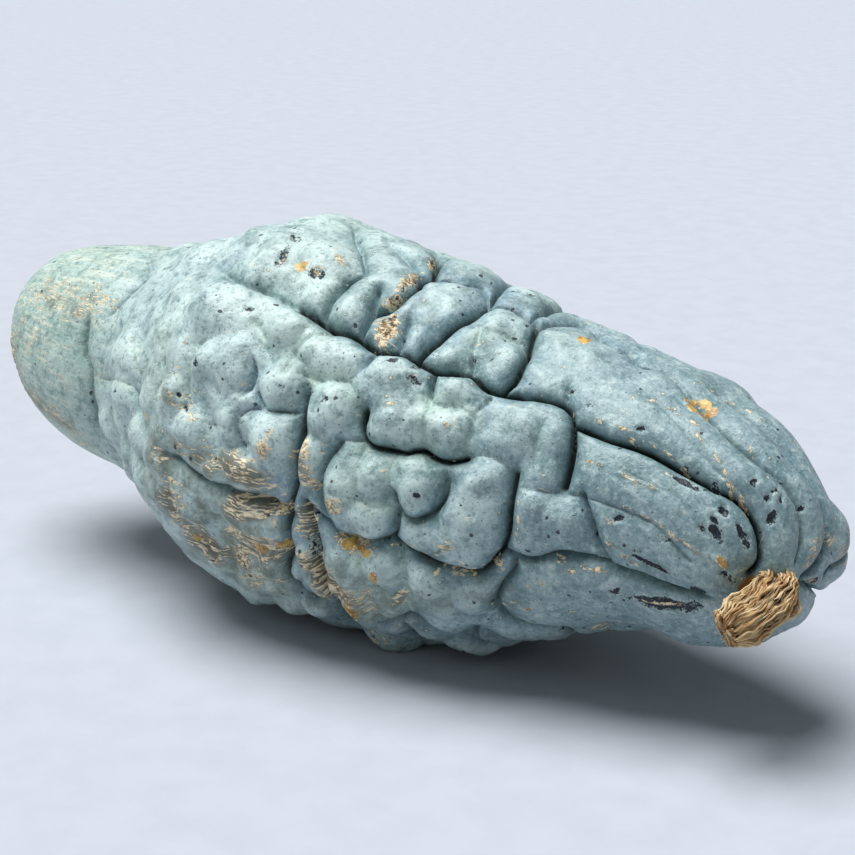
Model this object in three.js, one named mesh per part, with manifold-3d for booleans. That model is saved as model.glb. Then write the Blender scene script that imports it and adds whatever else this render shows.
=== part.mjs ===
// A warty, elongated winter squash lying on its side, with the dry corky stub of its stem.
//
// Frame: millimetres, +Z up, +X toward the stem end, -Y toward the side that shows in front.
// The origin is on the surface that the fruit rests on, under the middle of its bounding box.
//
// Places on the skin are given as [along, around]. Along is a level distance in millimetres in the
// direction of +X, from -11 at the blossom tip to 506 at the stem pole. Around is an angle in degrees
// about the fruit's centre line: 0 on top, 90 at the front, 180 underneath and -90 at the back.

import * as THREE from "three";
import Module from "manifold-3d";

// The fruit's overall form

const START_X = -256; // where along is 0
const CENTRE_Y = 1.3; // brings the middle of the bounding box over the origin
const TIP = -11; // the blossom tip's along
const POLE = 506; // the stem pole's along
const LENGTH = POLE - TIP;
const STATIONS = [
  // along, y and z of the centre line, radius over the tops of the lumps
  [TIP, 0, 120.5, 0],
  [23, 0, 121, 48],
  [63, 0, 115, 62],
  [108, 0, 112, 67.5],
  [148, 0, 110.5, 81.5],
  [193, 0, 105, 102.5],
  [243, 0, 100, 103],
  [303, 0, 95, 99],
  [358, 0, 95, 87],
  [400, -0.3, 98.3, 73.5],
  [432, -1.7, 97.6, 65.5],
  [458, -5.5, 93.5, 59],
  [478, -13, 87, 52],
  [493, -23.5, 81, 42.5],
  [POLE, -38, 77, 0],
];

// Creases between the lumps

const CREASE_DEPTH = 4.5; // of the narrow cleft itself
const CREASE_REACH = 7.5; // how far the cleft's rounded lip reaches
const BULGE_DEPTH = 7; // how much lower a lump's edge lies than its middle
const BULGE_REACH = 25;
const CREASE_STEP = 4; // spacing of the points on a crease
const FADE = 14; // a crease's open end gets shallower over this length
const CROWDED = [440, 500]; // toward the pole the ribs narrow, and with them the reach of a crease
const CROWDED_SHARE = 0.5;
const VALLEY_DEPTH = 4.5; // the lines that divide a lump
const VALLEY_REACH = 13;

// Every line is a share of the full depth, the ends that fade ("start", "end", "both" or "none"),
// and then the crease's points.
const CREASES = [
  // the long crease below the shoulder, from the nose's side to the stem
  [0.6, "start", [[186, 33], [209, 36], [228, 36], [250, 38]]],
  [1, "none", [[250, 38], [274, 40], [291, 40], [307, 42], [322, 40], [342, 42], [352, 40], [362, 39]]],
  [1, "none", [[362, 39], [373, 42], [390, 41], [408, 40], [415, 47]]],
  [1, "none", [[415, 47], [424, 47], [436, 47], [450, 45], [464, 44], [476, 41]]],
  [1, "none", [[476, 41], [487, 34], [495, 22], [500, 13], [504, 10], [505, 30]]],
  // lumps above it
  [0.9, "end", [[265, 38], [263, 30], [262, 23], [268, 16]]],
  [0.9, "none", [[291, 40], [288, 32], [283, 26], [279, 21]]],
  [1, "none", [[288, 30], [296, 23], [296, 14], [291, 9], [295, 5], [288, 0], [274, -12], [260, -20]]],
  [0.8, "start", [[306, 22], [311, 29], [318, 40]]],
  [1, "none", [[330, 40], [331, 33], [333, 26], [337, 17], [338, 9], [337, 5]]],
  [0.8, "none", [[295, 5], [303, 2], [311, 1], [317, -4], [327, -1], [337, 5]]],
  [0.9, "none", [[337, 5], [330, -3], [318, -18], [306, -30]]],
  [1, "none", [[337, 5], [345, 3], [358, 2], [371, 5]]],
  [1, "none", [[371, 5], [376, 14], [381, 24], [383, 33], [380, 41]]],
  [0.7, "start", [[352, 28], [358, 34], [362, 39]]],
  [0.8, "end", [[362, 2], [360, -8], [354, -20], [344, -32]]],
  [0.7, "none", [[371, 5], [377, -11], [384, -16], [392, -10], [402, -3], [409, -6], [418, 2], [426, -2]]],
  [0.6, "start", [[244, -5], [257, -2], [272, 2], [285, 6]]],
  [0.6, "start", [[222, -6], [242, 4], [256, 12], [266, 18]]],
  [0.7, "end", [[408, 40], [406, 35], [404, 28]]],
  // lumps below it, down to the middle of the front
  [0.7, "end", [[307, 42], [305, 47], [303, 52]]],
  [0.9, "end", [[342, 42], [344, 49], [348, 55]]],
  [1, "none", [[313, 60], [315, 66], [320, 70], [333, 70], [342, 70]]],
  [1, "none", [[342, 70], [349, 68], [357, 70], [365, 70], [372, 68]]],
  [0.6, "end", [[376, 45], [374, 50], [372, 55]]],
  [1, "none", [[415, 47], [419, 56], [420, 66], [420, 73]]],
  [1, "start", [[272, 55], [278, 61], [282, 69], [283, 78], [283, 86], [279, 95]]],
  [0.7, "start", [[304, 70], [311, 70], [318, 69]]],
  [0.8, "none", [[306, 71], [301, 77], [298, 86], [300, 93], [306, 99]]],
  [0.9, "start", [[364, 71], [364, 82], [358, 88], [350, 91], [343, 90], [339, 83]]],
  [0.9, "none", [[340, 88], [340, 94], [336, 98], [325, 100], [310, 100], [299, 96], [289, 92]]],
  [1, "none", [[337, 98], [348, 103], [361, 107], [371, 110], [379, 110], [385, 106], [390, 102]]],
  [1, "none", [[397, 71], [397, 80], [396, 88], [394, 95], [390, 102]]],
  [0.8, "none", [[430, 73], [438, 83], [445, 94], [456, 103]]],
  // lumps at the lower front, toward the ground
  [0.9, "none", [[390, 102], [400, 104], [411, 104], [422, 101], [434, 101], [446, 101], [457, 104]]],
  [0.9, "end", [[457, 104], [467, 106], [477, 107], [488, 106], [497, 108], [504, 114]]],
  [0.9, "none", [[396, 105], [394, 111], [385, 117], [378, 126], [378, 136], [385, 141], [396, 146]]],
  [0.6, "end", [[367, 110], [364, 118]]],
  [0.6, "both", [[358, 127], [366, 131], [378, 130]]],
  [0.9, "none", [[300, 137], [312, 139], [321, 137], [330, 132], [337, 138], [346, 146], [352, 158]]],
  [0.8, "none", [[324, 138], [323, 150], [326, 162], [332, 172]]],
  [0.8, "none", [[352, 150], [361, 140], [368, 150], [370, 166]]],
  [0.7, "none", [[402, 147], [398, 158], [392, 170]]],
  // the old split in the skin, left of the middle, and the lumps around it
  [1, "none", [[279, 95], [278, 102], [278, 109], [275, 116], [274, 124], [277, 130], [287, 130]]],
  [1, "none", [[289, 92], [292, 98], [294, 108], [294, 118], [296, 126], [293, 136], [287, 148]]],
  [0.9, "start", [[198, 91], [216, 92], [229, 94], [246, 95], [264, 95], [277, 96]]],
  [0.8, "both", [[237, 54], [243, 58], [246, 63], [243, 69]]],
  [0.5, "none", [[254, 83], [248, 78], [246, 73], [250, 70], [258, 69], [268, 68], [281, 66]]],
  [0.7, "start", [[248, 61], [251, 65], [257, 68]]],
  // the nose's collar and the dips near it
  [0.75, "both", [[90, 52], [92, 64], [95, 74], [101, 82], [104, 96], [107, 110], [113, 124]]],
  [0.5, "start", [[104, 57], [110, 50], [114, 42], [118, 32]]],
  [0.5, "both", [[97, 12], [105, 17], [116, 27]]],
  // ribs that run into the stem
  [0.35, "start", [[398, 75], [410, 76], [434, 74], [460, 74], [474, 74], [490, 75], [498, 79]]],
  [0.5, "none", [[426, -2], [440, 4], [452, 9], [466, 11], [478, 7], [488, -6], [495, -20], [502, -38]]],
  [0.8, "start", [[440, -12], [456, -13], [470, -16], [481, -25], [490, -40], [496, -54], [502, -62]]],
  [0.8, "none", [[503, -66], [500, -82], [495, -96], [486, -106]]],
  [0.8, "start", [[420, 150], [440, 152], [456, 158], [472, 164], [484, 172], [494, 184]]],
];

const VALLEYS = [
  [1, "none", [[274, 41], [267, 46], [262, 51], [264, 57]]],
  [1, "none", [[272, 56], [286, 56], [298, 54], [307, 57], [313, 61]]],
  [1, "none", [[348, 54], [350, 62], [351, 69]]],
  [1, "none", [[346, 53], [354, 53], [363, 52], [373, 54]]],
  [1, "none", [[373, 54], [373, 61], [370, 68]]],
  [0.8, "none", [[372, 68], [382, 66], [397, 70]]],
  [0.9, "start", [[343, 16], [350, 22], [352, 28]]],
  [0.9, "none", [[350, 22], [362, 20], [372, 18], [380, 19]]],
  [0.7, "both", [[304, 15], [313, 19], [322, 20], [331, 19]]],
  [0.8, "both", [[404, 43], [404, 52], [404, 62], [408, 72]]],
  [0.6, "both", [[389, 44], [387, 54], [390, 64]]],
  [0.7, "both", [[412, 77], [413, 87], [412, 100]]],
  [0.8, "none", [[336, 70], [336, 78], [337, 86]]],
  [0.8, "none", [[319, 71], [319, 79], [320, 86]]],
  [0.8, "none", [[306, 86], [318, 86], [328, 88], [338, 87]]],
  [0.7, "both", [[352, 92], [350, 98], [354, 105]]],
  [0.8, "none", [[341, 101], [342, 110], [338, 120], [332, 131]]],
  [0.8, "none", [[318, 101], [320, 112], [316, 124], [318, 137]]],
  [0.7, "none", [[344, 121], [354, 119], [366, 118]]],
  [0.7, "both", [[406, 105], [406, 115], [402, 126]]],
  [0.8, "both", [[302, 101], [304, 112], [300, 124]]],
  [0.9, "both", [[211, 53], [206, 62], [209, 72], [218, 78]]],
  [0.8, "both", [[218, 78], [230, 78], [240, 75]]],
  [0.8, "both", [[222, 45], [234, 47], [244, 51], [252, 56], [262, 55]]],
  [0.7, "both", [[152, 52], [150, 62], [156, 72], [168, 76]]],
  [0.7, "both", [[172, 50], [180, 60], [186, 72], [194, 82]]],
  [0.7, "both", [[106, 84], [124, 82], [142, 79], [158, 80], [172, 84]]],
  [0.7, "both", [[160, 99], [186, 99], [212, 103], [238, 106], [258, 109]]],
  [0.8, "both", [[214, 112], [226, 120], [240, 125], [256, 127], [273, 126]]],
  [0.6, "both", [[130, 104], [150, 112], [172, 122], [196, 130]]],
  [0.6, "both", [[214, 14], [226, 22], [240, 27], [256, 28]]],
  [0.6, "both", [[196, 14], [202, 24], [204, 34]]],
  [0.6, "both", [[394, 8], [398, 16], [398, 27]]],
  [0.6, "start", [[420, 14], [436, 21], [452, 26], [464, 30], [475, 31], [485, 27], [496, 16]]],
  [0.8, "both", [[438, 3], [452, 9], [466, 11], [478, 7], [488, -6], [495, -20], [502, -38]]],
  [0.5, "both", [[430, 58], [450, 58], [470, 57], [487, 56]]],
  [0.5, "both", [[424, 120], [444, 122], [464, 126], [480, 136]]],
  // the collar's far side
  [0.5, "none", [[113, 124], [118, 150], [112, 180], [104, 210], [108, 250]]],
  [0.5, "none", [[108, 250], [100, 290], [106, 325], [100, 360]]],
];

// Rounded lumps that stand up from the skin: along, around, radius, height
const DOME_ROUNDNESS = 1.1;
const DOMES = [
  [234, 60, 16, 7],
  [264, 61, 15.5, 7],
  [269, 76, 17, 7.5],
  [202, 45, 21, 5],
  [251, 44, 13, 5],
  [271, 47, 11, 4.5],
  [214, 62, 11, 4.5],
  [245, 69, 8, 3],
  [242, 76, 12, 5],
  [219, 81, 14, 5],
  [254, 88, 14, 5.5],
  [220, 93, 12, 4],
  [235, 92, 10, 4],
  [216, 103, 15, 5],
  [253, 101, 18, 6],
  [273, 103, 12, 4.5],
  [270, 117, 13, 6],
  [243, 126, 12, 5],
  [228, 122, 12, 4.5],
  [289, 110, 9, 5.5],
  [293, 121, 10, 5.5],
  [229, 145, 12, 4.5],
  [256, 142, 12, 5],
  [278, 135, 10, 5],
  [119, 8, 15, 2.5],
  [145, 14, 13, 3],
  [215, 29, 14, 4],
  [243, 22, 12, 3.5],
  [138, 68, 16, 3],
  [144, 84, 13, 3.5],
  [121, 106, 14, 3.5],
  [168, 95, 13, 4],
  [193, 96, 12, 4],
  [178, 58, 15, 3.5],
  [198, 74, 12, 4],
  [176, 78, 11, 3.5],
  [170, 42, 20, 3],
  [286, 48, 16, 4.5],
  [293, 63, 17, 6],
  [292, 79, 14, 4.5],
  [236, 20, 24, 6],
  [214, 20, 18, 4.5],
  [258, 32, 14, 4.5],
  [190, -14, 30, 2],
  [176, 12, 22, 4.5],
  [152, 22, 18, 4],
  [275, 32, 13, 4.5],
  [196, 104, 17, 4],
  [172, 108, 16, 4.5],
  [148, 112, 15, 4.5],
  [310, 110, 15, 4.5],
  [330, 109, 14, 4.5],
  [350, 112, 14, 4.5],
  [309, 128, 14, 4.5],
  [328, 125, 13, 4],
  [378, 118, 14, 4],
  [413, 112, 17, 4.5],
  [440, 112, 17, 4],
  [347, 80, 16, 4.5],
  [347, 97, 12, 3],
  [326, 79, 13, 4],
  [310, 84, 12, 4],
  [327, 93, 13, 4],
  [378, 90, 22, 4],
  [405, 86, 15, 4],
  [342, 37, 11, 2.5],
  [355, 21, 11, 2.5],
  [378, 29, 12, 3.5],
  [321, 46, 13, 3],
  [329, 64, 11, 2.5],
  [349, 61, 11, 2.5],
  [361, 44, 11, 2.5],
  [366, 58, 12, 3],
  [392, 56, 15, 3],
  [413, 54, 11, 2.5],
  [382, 76, 11, 2.5],
  [391, 90, 12, 2.5],
  [302, 60, 13, 2.5],
  [422, 88, 14, 4],
  [302, 156, 17, 7.5],
  [343, 158, 15, 6],
  [432, -48, 24, 7],
  [484, -74, 21, 7],
];

// Ribs and dips that the hidden side repeats by rule: grooves from the shoulder to the stem
const BACK_RIB_STARTS = [-74, -104, -134, -162];
const BACK_RIB_ALONG = [404, 430, 456, 478, 496];
const BACK_RIB_DEPTH = 0.8;
const BACK_RIB_WANDER = 4; // degrees

// Lumps on the hidden side grow by rule, in cells round seeded points
const CELL_SEED = 41;
const CELL_SPACING = [25, 37]; // nearest that two cell centres may lie, smallest and largest
const CELL_TRIES = 2600;
const CELL_ALONG = [118, 432]; // where the cells are, between the nose and the ribs
const CELL_FADE = 26;
const CELL_WARP = 4.5; // how far the borders of the cells wander
const CELL_SPILL = 14; // degrees past its own zone that a cell may still start
const BACK_AROUND = [-24, -38]; // the traced lumps end and the cells begin, behind the top
const UNDER_AROUND = [150, 164]; // and underneath

// Knuckles: small cells over all the lumps, at their strongest between the nose and the split
const KNUCKLE_SEED = 63;
const KNUCKLE_TRIES = 9000;
const KNUCKLE_SPACING = [13.5, 26];
const KNUCKLE_DEPTH = 3.8;
const KNUCKLE_REACH = 10.5;
const KNUCKLE_WARP = 2.2;
const KNUCKLE_STARTS = [116, 142];
const KNUCKLE_ENDS = [372, 408];
const KNUCKLE_WEAK_SHARE = 0.5; // on the side that faces the viewer
const KNUCKLE_PATCHES = [70, 120]; // lengths of the waves that make them stronger and weaker
const KNUCKLE_PATCH_RANGE = [-1.2, 0.6];

// Gentle swell that keeps the lumps from being alike
const SWELL_SEED = 7;
const SWELL_WAVES = 9;
const SWELL_LENGTHS = [34, 70];
const SWELL_HEIGHT = 1.1;
const SWELL_STARTS = [80, 130]; // the nose is smooth
const SWELL_CALMS = [430, 480]; // and the ribs nearly so
const CALM_SHARE = 0.4;

// Blossom scar at the tip and the hollow that the stem stands in
const SCAR_RADIUS = 11;
const SCAR_HEIGHT = 2.2;
const HOLLOW_RADIUS = 26;
const HOLLOW_DEPTH = 4;

// Mesh of the fruit
const RINGS = 75;
const SIDES = 72;
const SNAP = 0.42; // share of the grid's spacing that a point may move to lie on a crease
const POLE_CLEAR = 14; // no point moves nearer to the tip or the pole than this

// The stem's stub, from inside the fruit to the cut end
const STEM_PATH = [
  [241, -23, 83],
  [255.5, -30.5, 79.5],
  [256.5, -41, 77.5],
  [254, -52, 74],
  [249, -61, 70.5],
];
const STEM_RADII = [11.5, 12, 11.5, 11, 11.5];
const STEM_SECTIONS = 16;
const STEM_SIDES = 40;
const STEM_RIBS = 9;
const STEM_RIB_HEIGHT = 1.5;
const STEM_TWIST = 0.9; // radians from the root to the cut
const STEM_OVAL = 0.07; // the stub is a little wider one way than the other
const STEM_CUT_DEPTH = 4; // how far the cut end is hollowed
const STEM_CUT_RINGS = 4;
const STEM_GAP = 0.35; // between the stem and the skin round it
const STEM_SEED = 19;

const SKIN_COLOUR = 0x7d9692;
const STEM_COLOUR = 0xb08a52;

const DEGREE = Math.PI / 180;

// Small helpers

function seeded(seed) {
  let state = seed;
  return () => {
    state = (state + 0x6d2b79f5) | 0;
    let t = Math.imul(state ^ (state >>> 15), 1 | state);
    t = (t + Math.imul(t ^ (t >>> 7), 61 | t)) ^ t;
    return ((t ^ (t >>> 14)) >>> 0) / 4294967296;
  };
}

function smooth(low, high, value) {
  const t = Math.min(1, Math.max(0, (value - low) / (high - low)));
  return t * t * (3 - 2 * t);
}

function mix(a, b, t) {
  return a + (b - a) * t;
}

// A smooth curve through values at uneven places
function through(places, values, at) {
  const last = places.length - 1;
  const slope = (i) => {
    const a = Math.max(0, i - 1);
    const b = Math.min(last, i + 1);
    return (values[b] - values[a]) / (places[b] - places[a]);
  };
  let i = 0;
  while (i < last - 1 && places[i + 1] <= at) i += 1;
  const h = places[i + 1] - places[i];
  const t = (at - places[i]) / h;
  const t2 = t * t;
  const t3 = t2 * t;
  return (
    (2 * t3 - 3 * t2 + 1) * values[i] +
    (t3 - 2 * t2 + t) * h * slope(i) +
    (3 * t2 - 2 * t3) * values[i + 1] +
    (t3 - t2) * h * slope(i + 1)
  );
}

// The smooth form under the lumps

const stationAlong = STATIONS.map((row) => row[0]);
const stationY = STATIONS.map((row) => row[1]);
const stationZ = STATIONS.map((row) => row[2]);

// The radius is an ellipse from tip to pole times a fullness, so both ends close round
const between = STATIONS.slice(1, -1);
const inner = between.map(([along, , , across]) => across ** 2 / ((along - TIP) * (POLE - along)));
const fullness = [inner[0], ...inner, inner[inner.length - 1]];

function centre(along) {
  const y = through(stationAlong, stationY, along);
  const z = through(stationAlong, stationZ, along);
  return new THREE.Vector3(START_X + along, CENTRE_Y + y, z);
}

function radius(along) {
  const full = through(stationAlong, fullness, along);
  return Math.sqrt(Math.max(0, (along - TIP) * (POLE - along) * full));
}

const NUDGE = 15; // a ring's plane follows the centre line's direction over this length each way

function frameAt(along) {
  const a = Math.max(TIP, along - NUDGE);
  const b = Math.min(POLE, along + NUDGE);
  const tangent = centre(b).sub(centre(a)).normalize();
  const front = new THREE.Vector3(0, -1, 0);
  front.addScaledVector(tangent, -front.dot(tangent)).normalize();
  const top = new THREE.Vector3().crossVectors(tangent, front).negate();
  return { tangent, front, top };
}

function outward(frame, around) {
  const angle = around * DEGREE;
  return frame.top
    .clone()
    .multiplyScalar(Math.cos(angle))
    .addScaledVector(frame.front, Math.sin(angle));
}

function smoothSkin(along, around) {
  const out = outward(frameAt(along), around);
  return centre(along).addScaledVector(out, radius(along));
}

const SLOPE_STEP = 0.5;

function skinNormal(along, around) {
  const frame = frameAt(along);
  const a = Math.max(TIP, along - SLOPE_STEP);
  const b = Math.min(POLE, along + SLOPE_STEP);
  const rise = (radius(b) - radius(a)) / centre(b).distanceTo(centre(a));
  return outward(frame, around).addScaledVector(frame.tangent, -rise).normalize();
}

// Creases and valleys as chains of points on the smooth skin

function shortTurn(from, to) {
  return ((((to - from) % 360) + 540) % 360) - 180;
}

function chain([depth, fades, places]) {
  const flat = places.map(([along, around]) => new THREE.Vector3(along, around, 0));
  const curve = new THREE.CatmullRomCurve3(flat, false, "catmullrom", 0.5);
  const rough = curve.getPoints(places.length * 8).map((p) => smoothSkin(p.x, p.y));
  let length = 0;
  for (let i = 1; i < rough.length; i += 1) length += rough[i].distanceTo(rough[i - 1]);
  const count = Math.max(2, Math.round(length / CREASE_STEP));
  const chained = [];
  for (let i = 0; i <= count; i += 1) {
    const t = i / count;
    const flatPoint = curve.getPoint(t);
    let share = depth;
    if (fades === "start" || fades === "both") share *= smooth(-FADE / 3, FADE, t * length);
    if (fades === "end" || fades === "both") share *= smooth(-FADE / 3, FADE, (1 - t) * length);
    chained.push({ point: smoothSkin(flatPoint.x, flatPoint.y), share });
  }
  return chained;
}

const wander = seeded(CELL_SEED + 1);
const backRibs = BACK_RIB_STARTS.map((start) => {
  const places = BACK_RIB_ALONG.map((along) => [along, start + BACK_RIB_WANDER * (2 * wander() - 1)]);
  return [BACK_RIB_DEPTH, "start", places];
});

function segmentsOf(rows) {
  const segments = [];
  for (const row of rows) {
    const chained = chain(row);
    for (let i = 1; i < chained.length; i += 1) segments.push([chained[i - 1], chained[i]]);
  }
  return segments;
}

const creaseSegments = segmentsOf([...CREASES, ...backRibs]);
const valleySegments = segmentsOf(VALLEYS);
const domes = DOMES.map(([along, around, width, height]) => ({
  middle: smoothSkin(along, around),
  width,
  height,
}));

// Nearest place on a segment, with the crease's share of depth there
function reach(point, [from, to]) {
  const span = to.point.clone().sub(from.point);
  const t = Math.min(1, Math.max(0, point.clone().sub(from.point).dot(span) / span.lengthSq()));
  const foot = from.point.clone().addScaledVector(span, t);
  return { foot, distance: foot.distanceTo(point), share: mix(from.share, to.share, t) };
}

// A rounded lip: deepest and steepest at the crease, level at the given reach
function lip(distance, width) {
  const t = 1 - Math.min(1, distance / width);
  return 1 - Math.sqrt(1 - t * t);
}

// Cells of the hidden side

function hiddenShare(along, around) {
  const turn = shortTurn(0, around);
  const behind = turn < 0 ? smooth(-BACK_AROUND[0], -BACK_AROUND[1], -turn) : 0;
  const under = turn > 0 ? smooth(UNDER_AROUND[0], UNDER_AROUND[1], turn) : 0;
  const fromNose = smooth(CELL_ALONG[0], CELL_ALONG[0] + CELL_FADE, along);
  const toRibs = 1 - smooth(CELL_ALONG[1] - CELL_FADE, CELL_ALONG[1], along);
  return Math.max(behind, under) * fromNose * toRibs;
}

// Seeded places on the smooth skin, none nearer to another than its room
function strew(seed, tries, alongRange, aroundRange, spacing) {
  const random = seeded(seed);
  const taken = [];
  for (let i = 0; i < tries; i += 1) {
    const along = mix(alongRange[0], alongRange[1], random());
    const around = mix(aroundRange[0], aroundRange[1], random());
    const room = mix(spacing[0], spacing[1], random());
    const point = smoothSkin(along, around);
    if (taken.every((other) => other.point.distanceTo(point) > Math.max(room, other.room))) {
      taken.push({ point, room });
    }
  }
  return taken.map((place) => place.point);
}

function growWaves(seed, count, lengths) {
  const random = seeded(seed);
  const waves = [];
  for (let i = 0; i < count; i += 1) {
    const turn = 2 * Math.PI * random();
    const up = 2 * random() - 1;
    const flat = Math.sqrt(1 - up * up);
    const length = mix(lengths[0], lengths[1], random());
    const way = new THREE.Vector3(flat * Math.cos(turn), flat * Math.sin(turn), up);
    waves.push({ way: way.multiplyScalar((2 * Math.PI) / length), phase: 2 * Math.PI * random() });
  }
  return waves;
}

function swell(waves, point) {
  let sum = 0;
  for (const { way, phase } of waves) sum += Math.sin(point.dot(way) + phase);
  return sum / Math.sqrt(waves.length);
}

const cellAlong = [CELL_ALONG[0] - CELL_FADE, CELL_ALONG[1] + CELL_FADE];
const cellAround = [UNDER_AROUND[0] - CELL_SPILL, 360 + BACK_AROUND[0] + CELL_SPILL];
const cells = strew(CELL_SEED, CELL_TRIES, cellAlong, cellAround, CELL_SPACING);
const knuckleAlong = [KNUCKLE_STARTS[0] - CELL_FADE, KNUCKLE_ENDS[1] + CELL_FADE];
const knuckles = strew(KNUCKLE_SEED, KNUCKLE_TRIES, knuckleAlong, [0, 360], KNUCKLE_SPACING);
const patchWaves = growWaves(KNUCKLE_SEED + 1, 6, KNUCKLE_PATCHES);
const swellWaves = growWaves(SWELL_SEED, SWELL_WAVES, SWELL_LENGTHS);
const WARP_LENGTHS = [24, 48];
const warpWaves = [1, 2, 3].map((i) => growWaves(CELL_SEED + 10 * i, 5, WARP_LENGTHS));

function warped(point, warp) {
  const [wx, wy, wz] = warpWaves.map((waves) => warp * swell(waves, point));
  return point.clone().add(new THREE.Vector3(wx, wy, wz));
}

// The nearest border between two cells, as the way to it and the distance
function cellBorder(centres, place) {
  let home = centres[0];
  for (const other of centres) {
    if (other.distanceToSquared(place) < home.distanceToSquared(place)) home = other;
  }
  const own = home.distanceToSquared(place);
  const nearest = { distance: Infinity, way: null };
  for (const other of centres) {
    if (other === home) continue;
    const apart = other.distanceTo(home);
    const distance = (other.distanceToSquared(place) - own) / (2 * apart);
    if (distance >= nearest.distance) continue;
    nearest.distance = distance;
    nearest.way = other.clone().sub(home).divideScalar(apart);
  }
  return nearest;
}

function knuckleShare(along, around, point) {
  const zone = smooth(KNUCKLE_STARTS[0], KNUCKLE_STARTS[1], along);
  const ends = 1 - smooth(KNUCKLE_ENDS[0], KNUCKLE_ENDS[1], along);
  const side = mix(KNUCKLE_WEAK_SHARE, 1, hiddenShare(along, around));
  const patch = smooth(KNUCKLE_PATCH_RANGE[0], KNUCKLE_PATCH_RANGE[1], swell(patchWaves, point));
  return zone * ends * side * patch;
}

// How far the real skin lies outside the smooth form
function relief(along, around, point) {
  const narrow = mix(1, CROWDED_SHARE, smooth(CROWDED[0], CROWDED[1], along));
  let cleft = 0;
  let bulge = 0;
  for (const segment of creaseSegments) {
    if (segment[0].point.distanceToSquared(point) > (BULGE_REACH + CREASE_STEP) ** 2) continue;
    const { distance, share } = reach(point, segment);
    cleft = Math.max(cleft, share * lip(distance, narrow * CREASE_REACH));
    bulge = Math.max(bulge, share * lip(distance, narrow * BULGE_REACH));
  }
  const hidden = hiddenShare(along, around);
  if (hidden > 0) {
    const { distance } = cellBorder(cells, warped(point, CELL_WARP));
    cleft = Math.max(cleft, hidden * lip(distance, CREASE_REACH));
    bulge = Math.max(bulge, hidden * lip(distance, BULGE_REACH));
  }
  let dip = 0;
  for (const segment of valleySegments) {
    if (segment[0].point.distanceToSquared(point) > (VALLEY_REACH + CREASE_STEP) ** 2) continue;
    const { distance, share } = reach(point, segment);
    dip = Math.max(dip, share * lip(distance, VALLEY_REACH));
  }
  let dome = 0;
  for (const { middle, width, height } of domes) {
    const t = middle.distanceTo(point) / width;
    if (t < 1) dome = Math.max(dome, height * (1 - t * t) ** DOME_ROUNDNESS);
  }
  const calm = mix(1, CALM_SHARE, smooth(SWELL_CALMS[0], SWELL_CALMS[1], along));
  const lumpy = smooth(SWELL_STARTS[0], SWELL_STARTS[1], along) * calm;
  const tip = centre(TIP);
  const pole = centre(POLE);
  const scar = SCAR_HEIGHT * (1 - smooth(0.6 * SCAR_RADIUS, SCAR_RADIUS, point.distanceTo(tip)));
  const hollow = HOLLOW_DEPTH * (1 - smooth(0, HOLLOW_RADIUS, point.distanceTo(pole)));
  const swelling = lumpy * SWELL_HEIGHT * swell(swellWaves, point);
  const share = knuckleShare(along, around, point);
  const border = share > 0 ? cellBorder(knuckles, warped(point, KNUCKLE_WARP)).distance : Infinity;
  const knuckle = share * lip(border, KNUCKLE_REACH);
  const lines = CREASE_DEPTH * cleft + BULGE_DEPTH * bulge + VALLEY_DEPTH * dip + KNUCKLE_DEPTH * knuckle;
  return scar + swelling + dome - lines - hollow;
}

// The real skin, flat where the fruit's weight rests on the ground
function skin(along, around, extra = 0) {
  const point = smoothSkin(along, around);
  const height = relief(along, around, point) + extra;
  point.addScaledVector(skinNormal(along, around), height);
  point.z = Math.max(point.z, 0);
  return point;
}

// The grid of the fruit's mesh, in rings evenly spaced along the skin

function ringPlaces() {
  const fine = 600;
  const along = [];
  const gone = [0];
  for (let i = 0; i <= fine; i += 1) {
    along.push(TIP + (LENGTH * (1 - Math.cos((Math.PI * i) / fine))) / 2);
    if (i === 0) continue;
    const step = Math.hypot(along[i] - along[i - 1], radius(along[i]) - radius(along[i - 1]));
    gone.push(gone[i - 1] + step);
  }
  const places = [];
  let j = 0;
  for (let ring = 1; ring < RINGS; ring += 1) {
    const wanted = (gone[fine] * ring) / RINGS;
    while (gone[j + 1] < wanted) j += 1;
    places.push(mix(along[j], along[j + 1], (wanted - gone[j]) / (gone[j + 1] - gone[j])));
  }
  return { places, spacing: gone[fine] / RINGS };
}

// Moves a grid point onto the crease beside it, so that the crease stays sharp
function snapped(along, around, spacing) {
  if (along < TIP + POLE_CLEAR || along > POLE - POLE_CLEAR) return [along, around];
  const point = smoothSkin(along, around);
  const limit = SNAP * Math.min(spacing, (2 * Math.PI * radius(along)) / SIDES);
  let way = null;
  let nearest = limit;
  for (const segment of creaseSegments) {
    if (segment[0].point.distanceToSquared(point) > (limit + CREASE_STEP) ** 2) continue;
    const { foot, distance, share } = reach(point, segment);
    if (distance < nearest && share > 0.3) {
      nearest = distance;
      way = foot.clone().sub(point);
    }
  }
  if (hiddenShare(along, around) > 0.5) {
    const border = cellBorder(cells, warped(point, CELL_WARP));
    if (border.distance < nearest) way = border.way.clone().multiplyScalar(border.distance);
  }
  if (!way) return [along, around];
  const frame = frameAt(along);
  const side = outward(frame, around + 90);
  const turn = way.dot(side) / radius(along) / DEGREE;
  return [along + way.x, around + turn];
}

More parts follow.
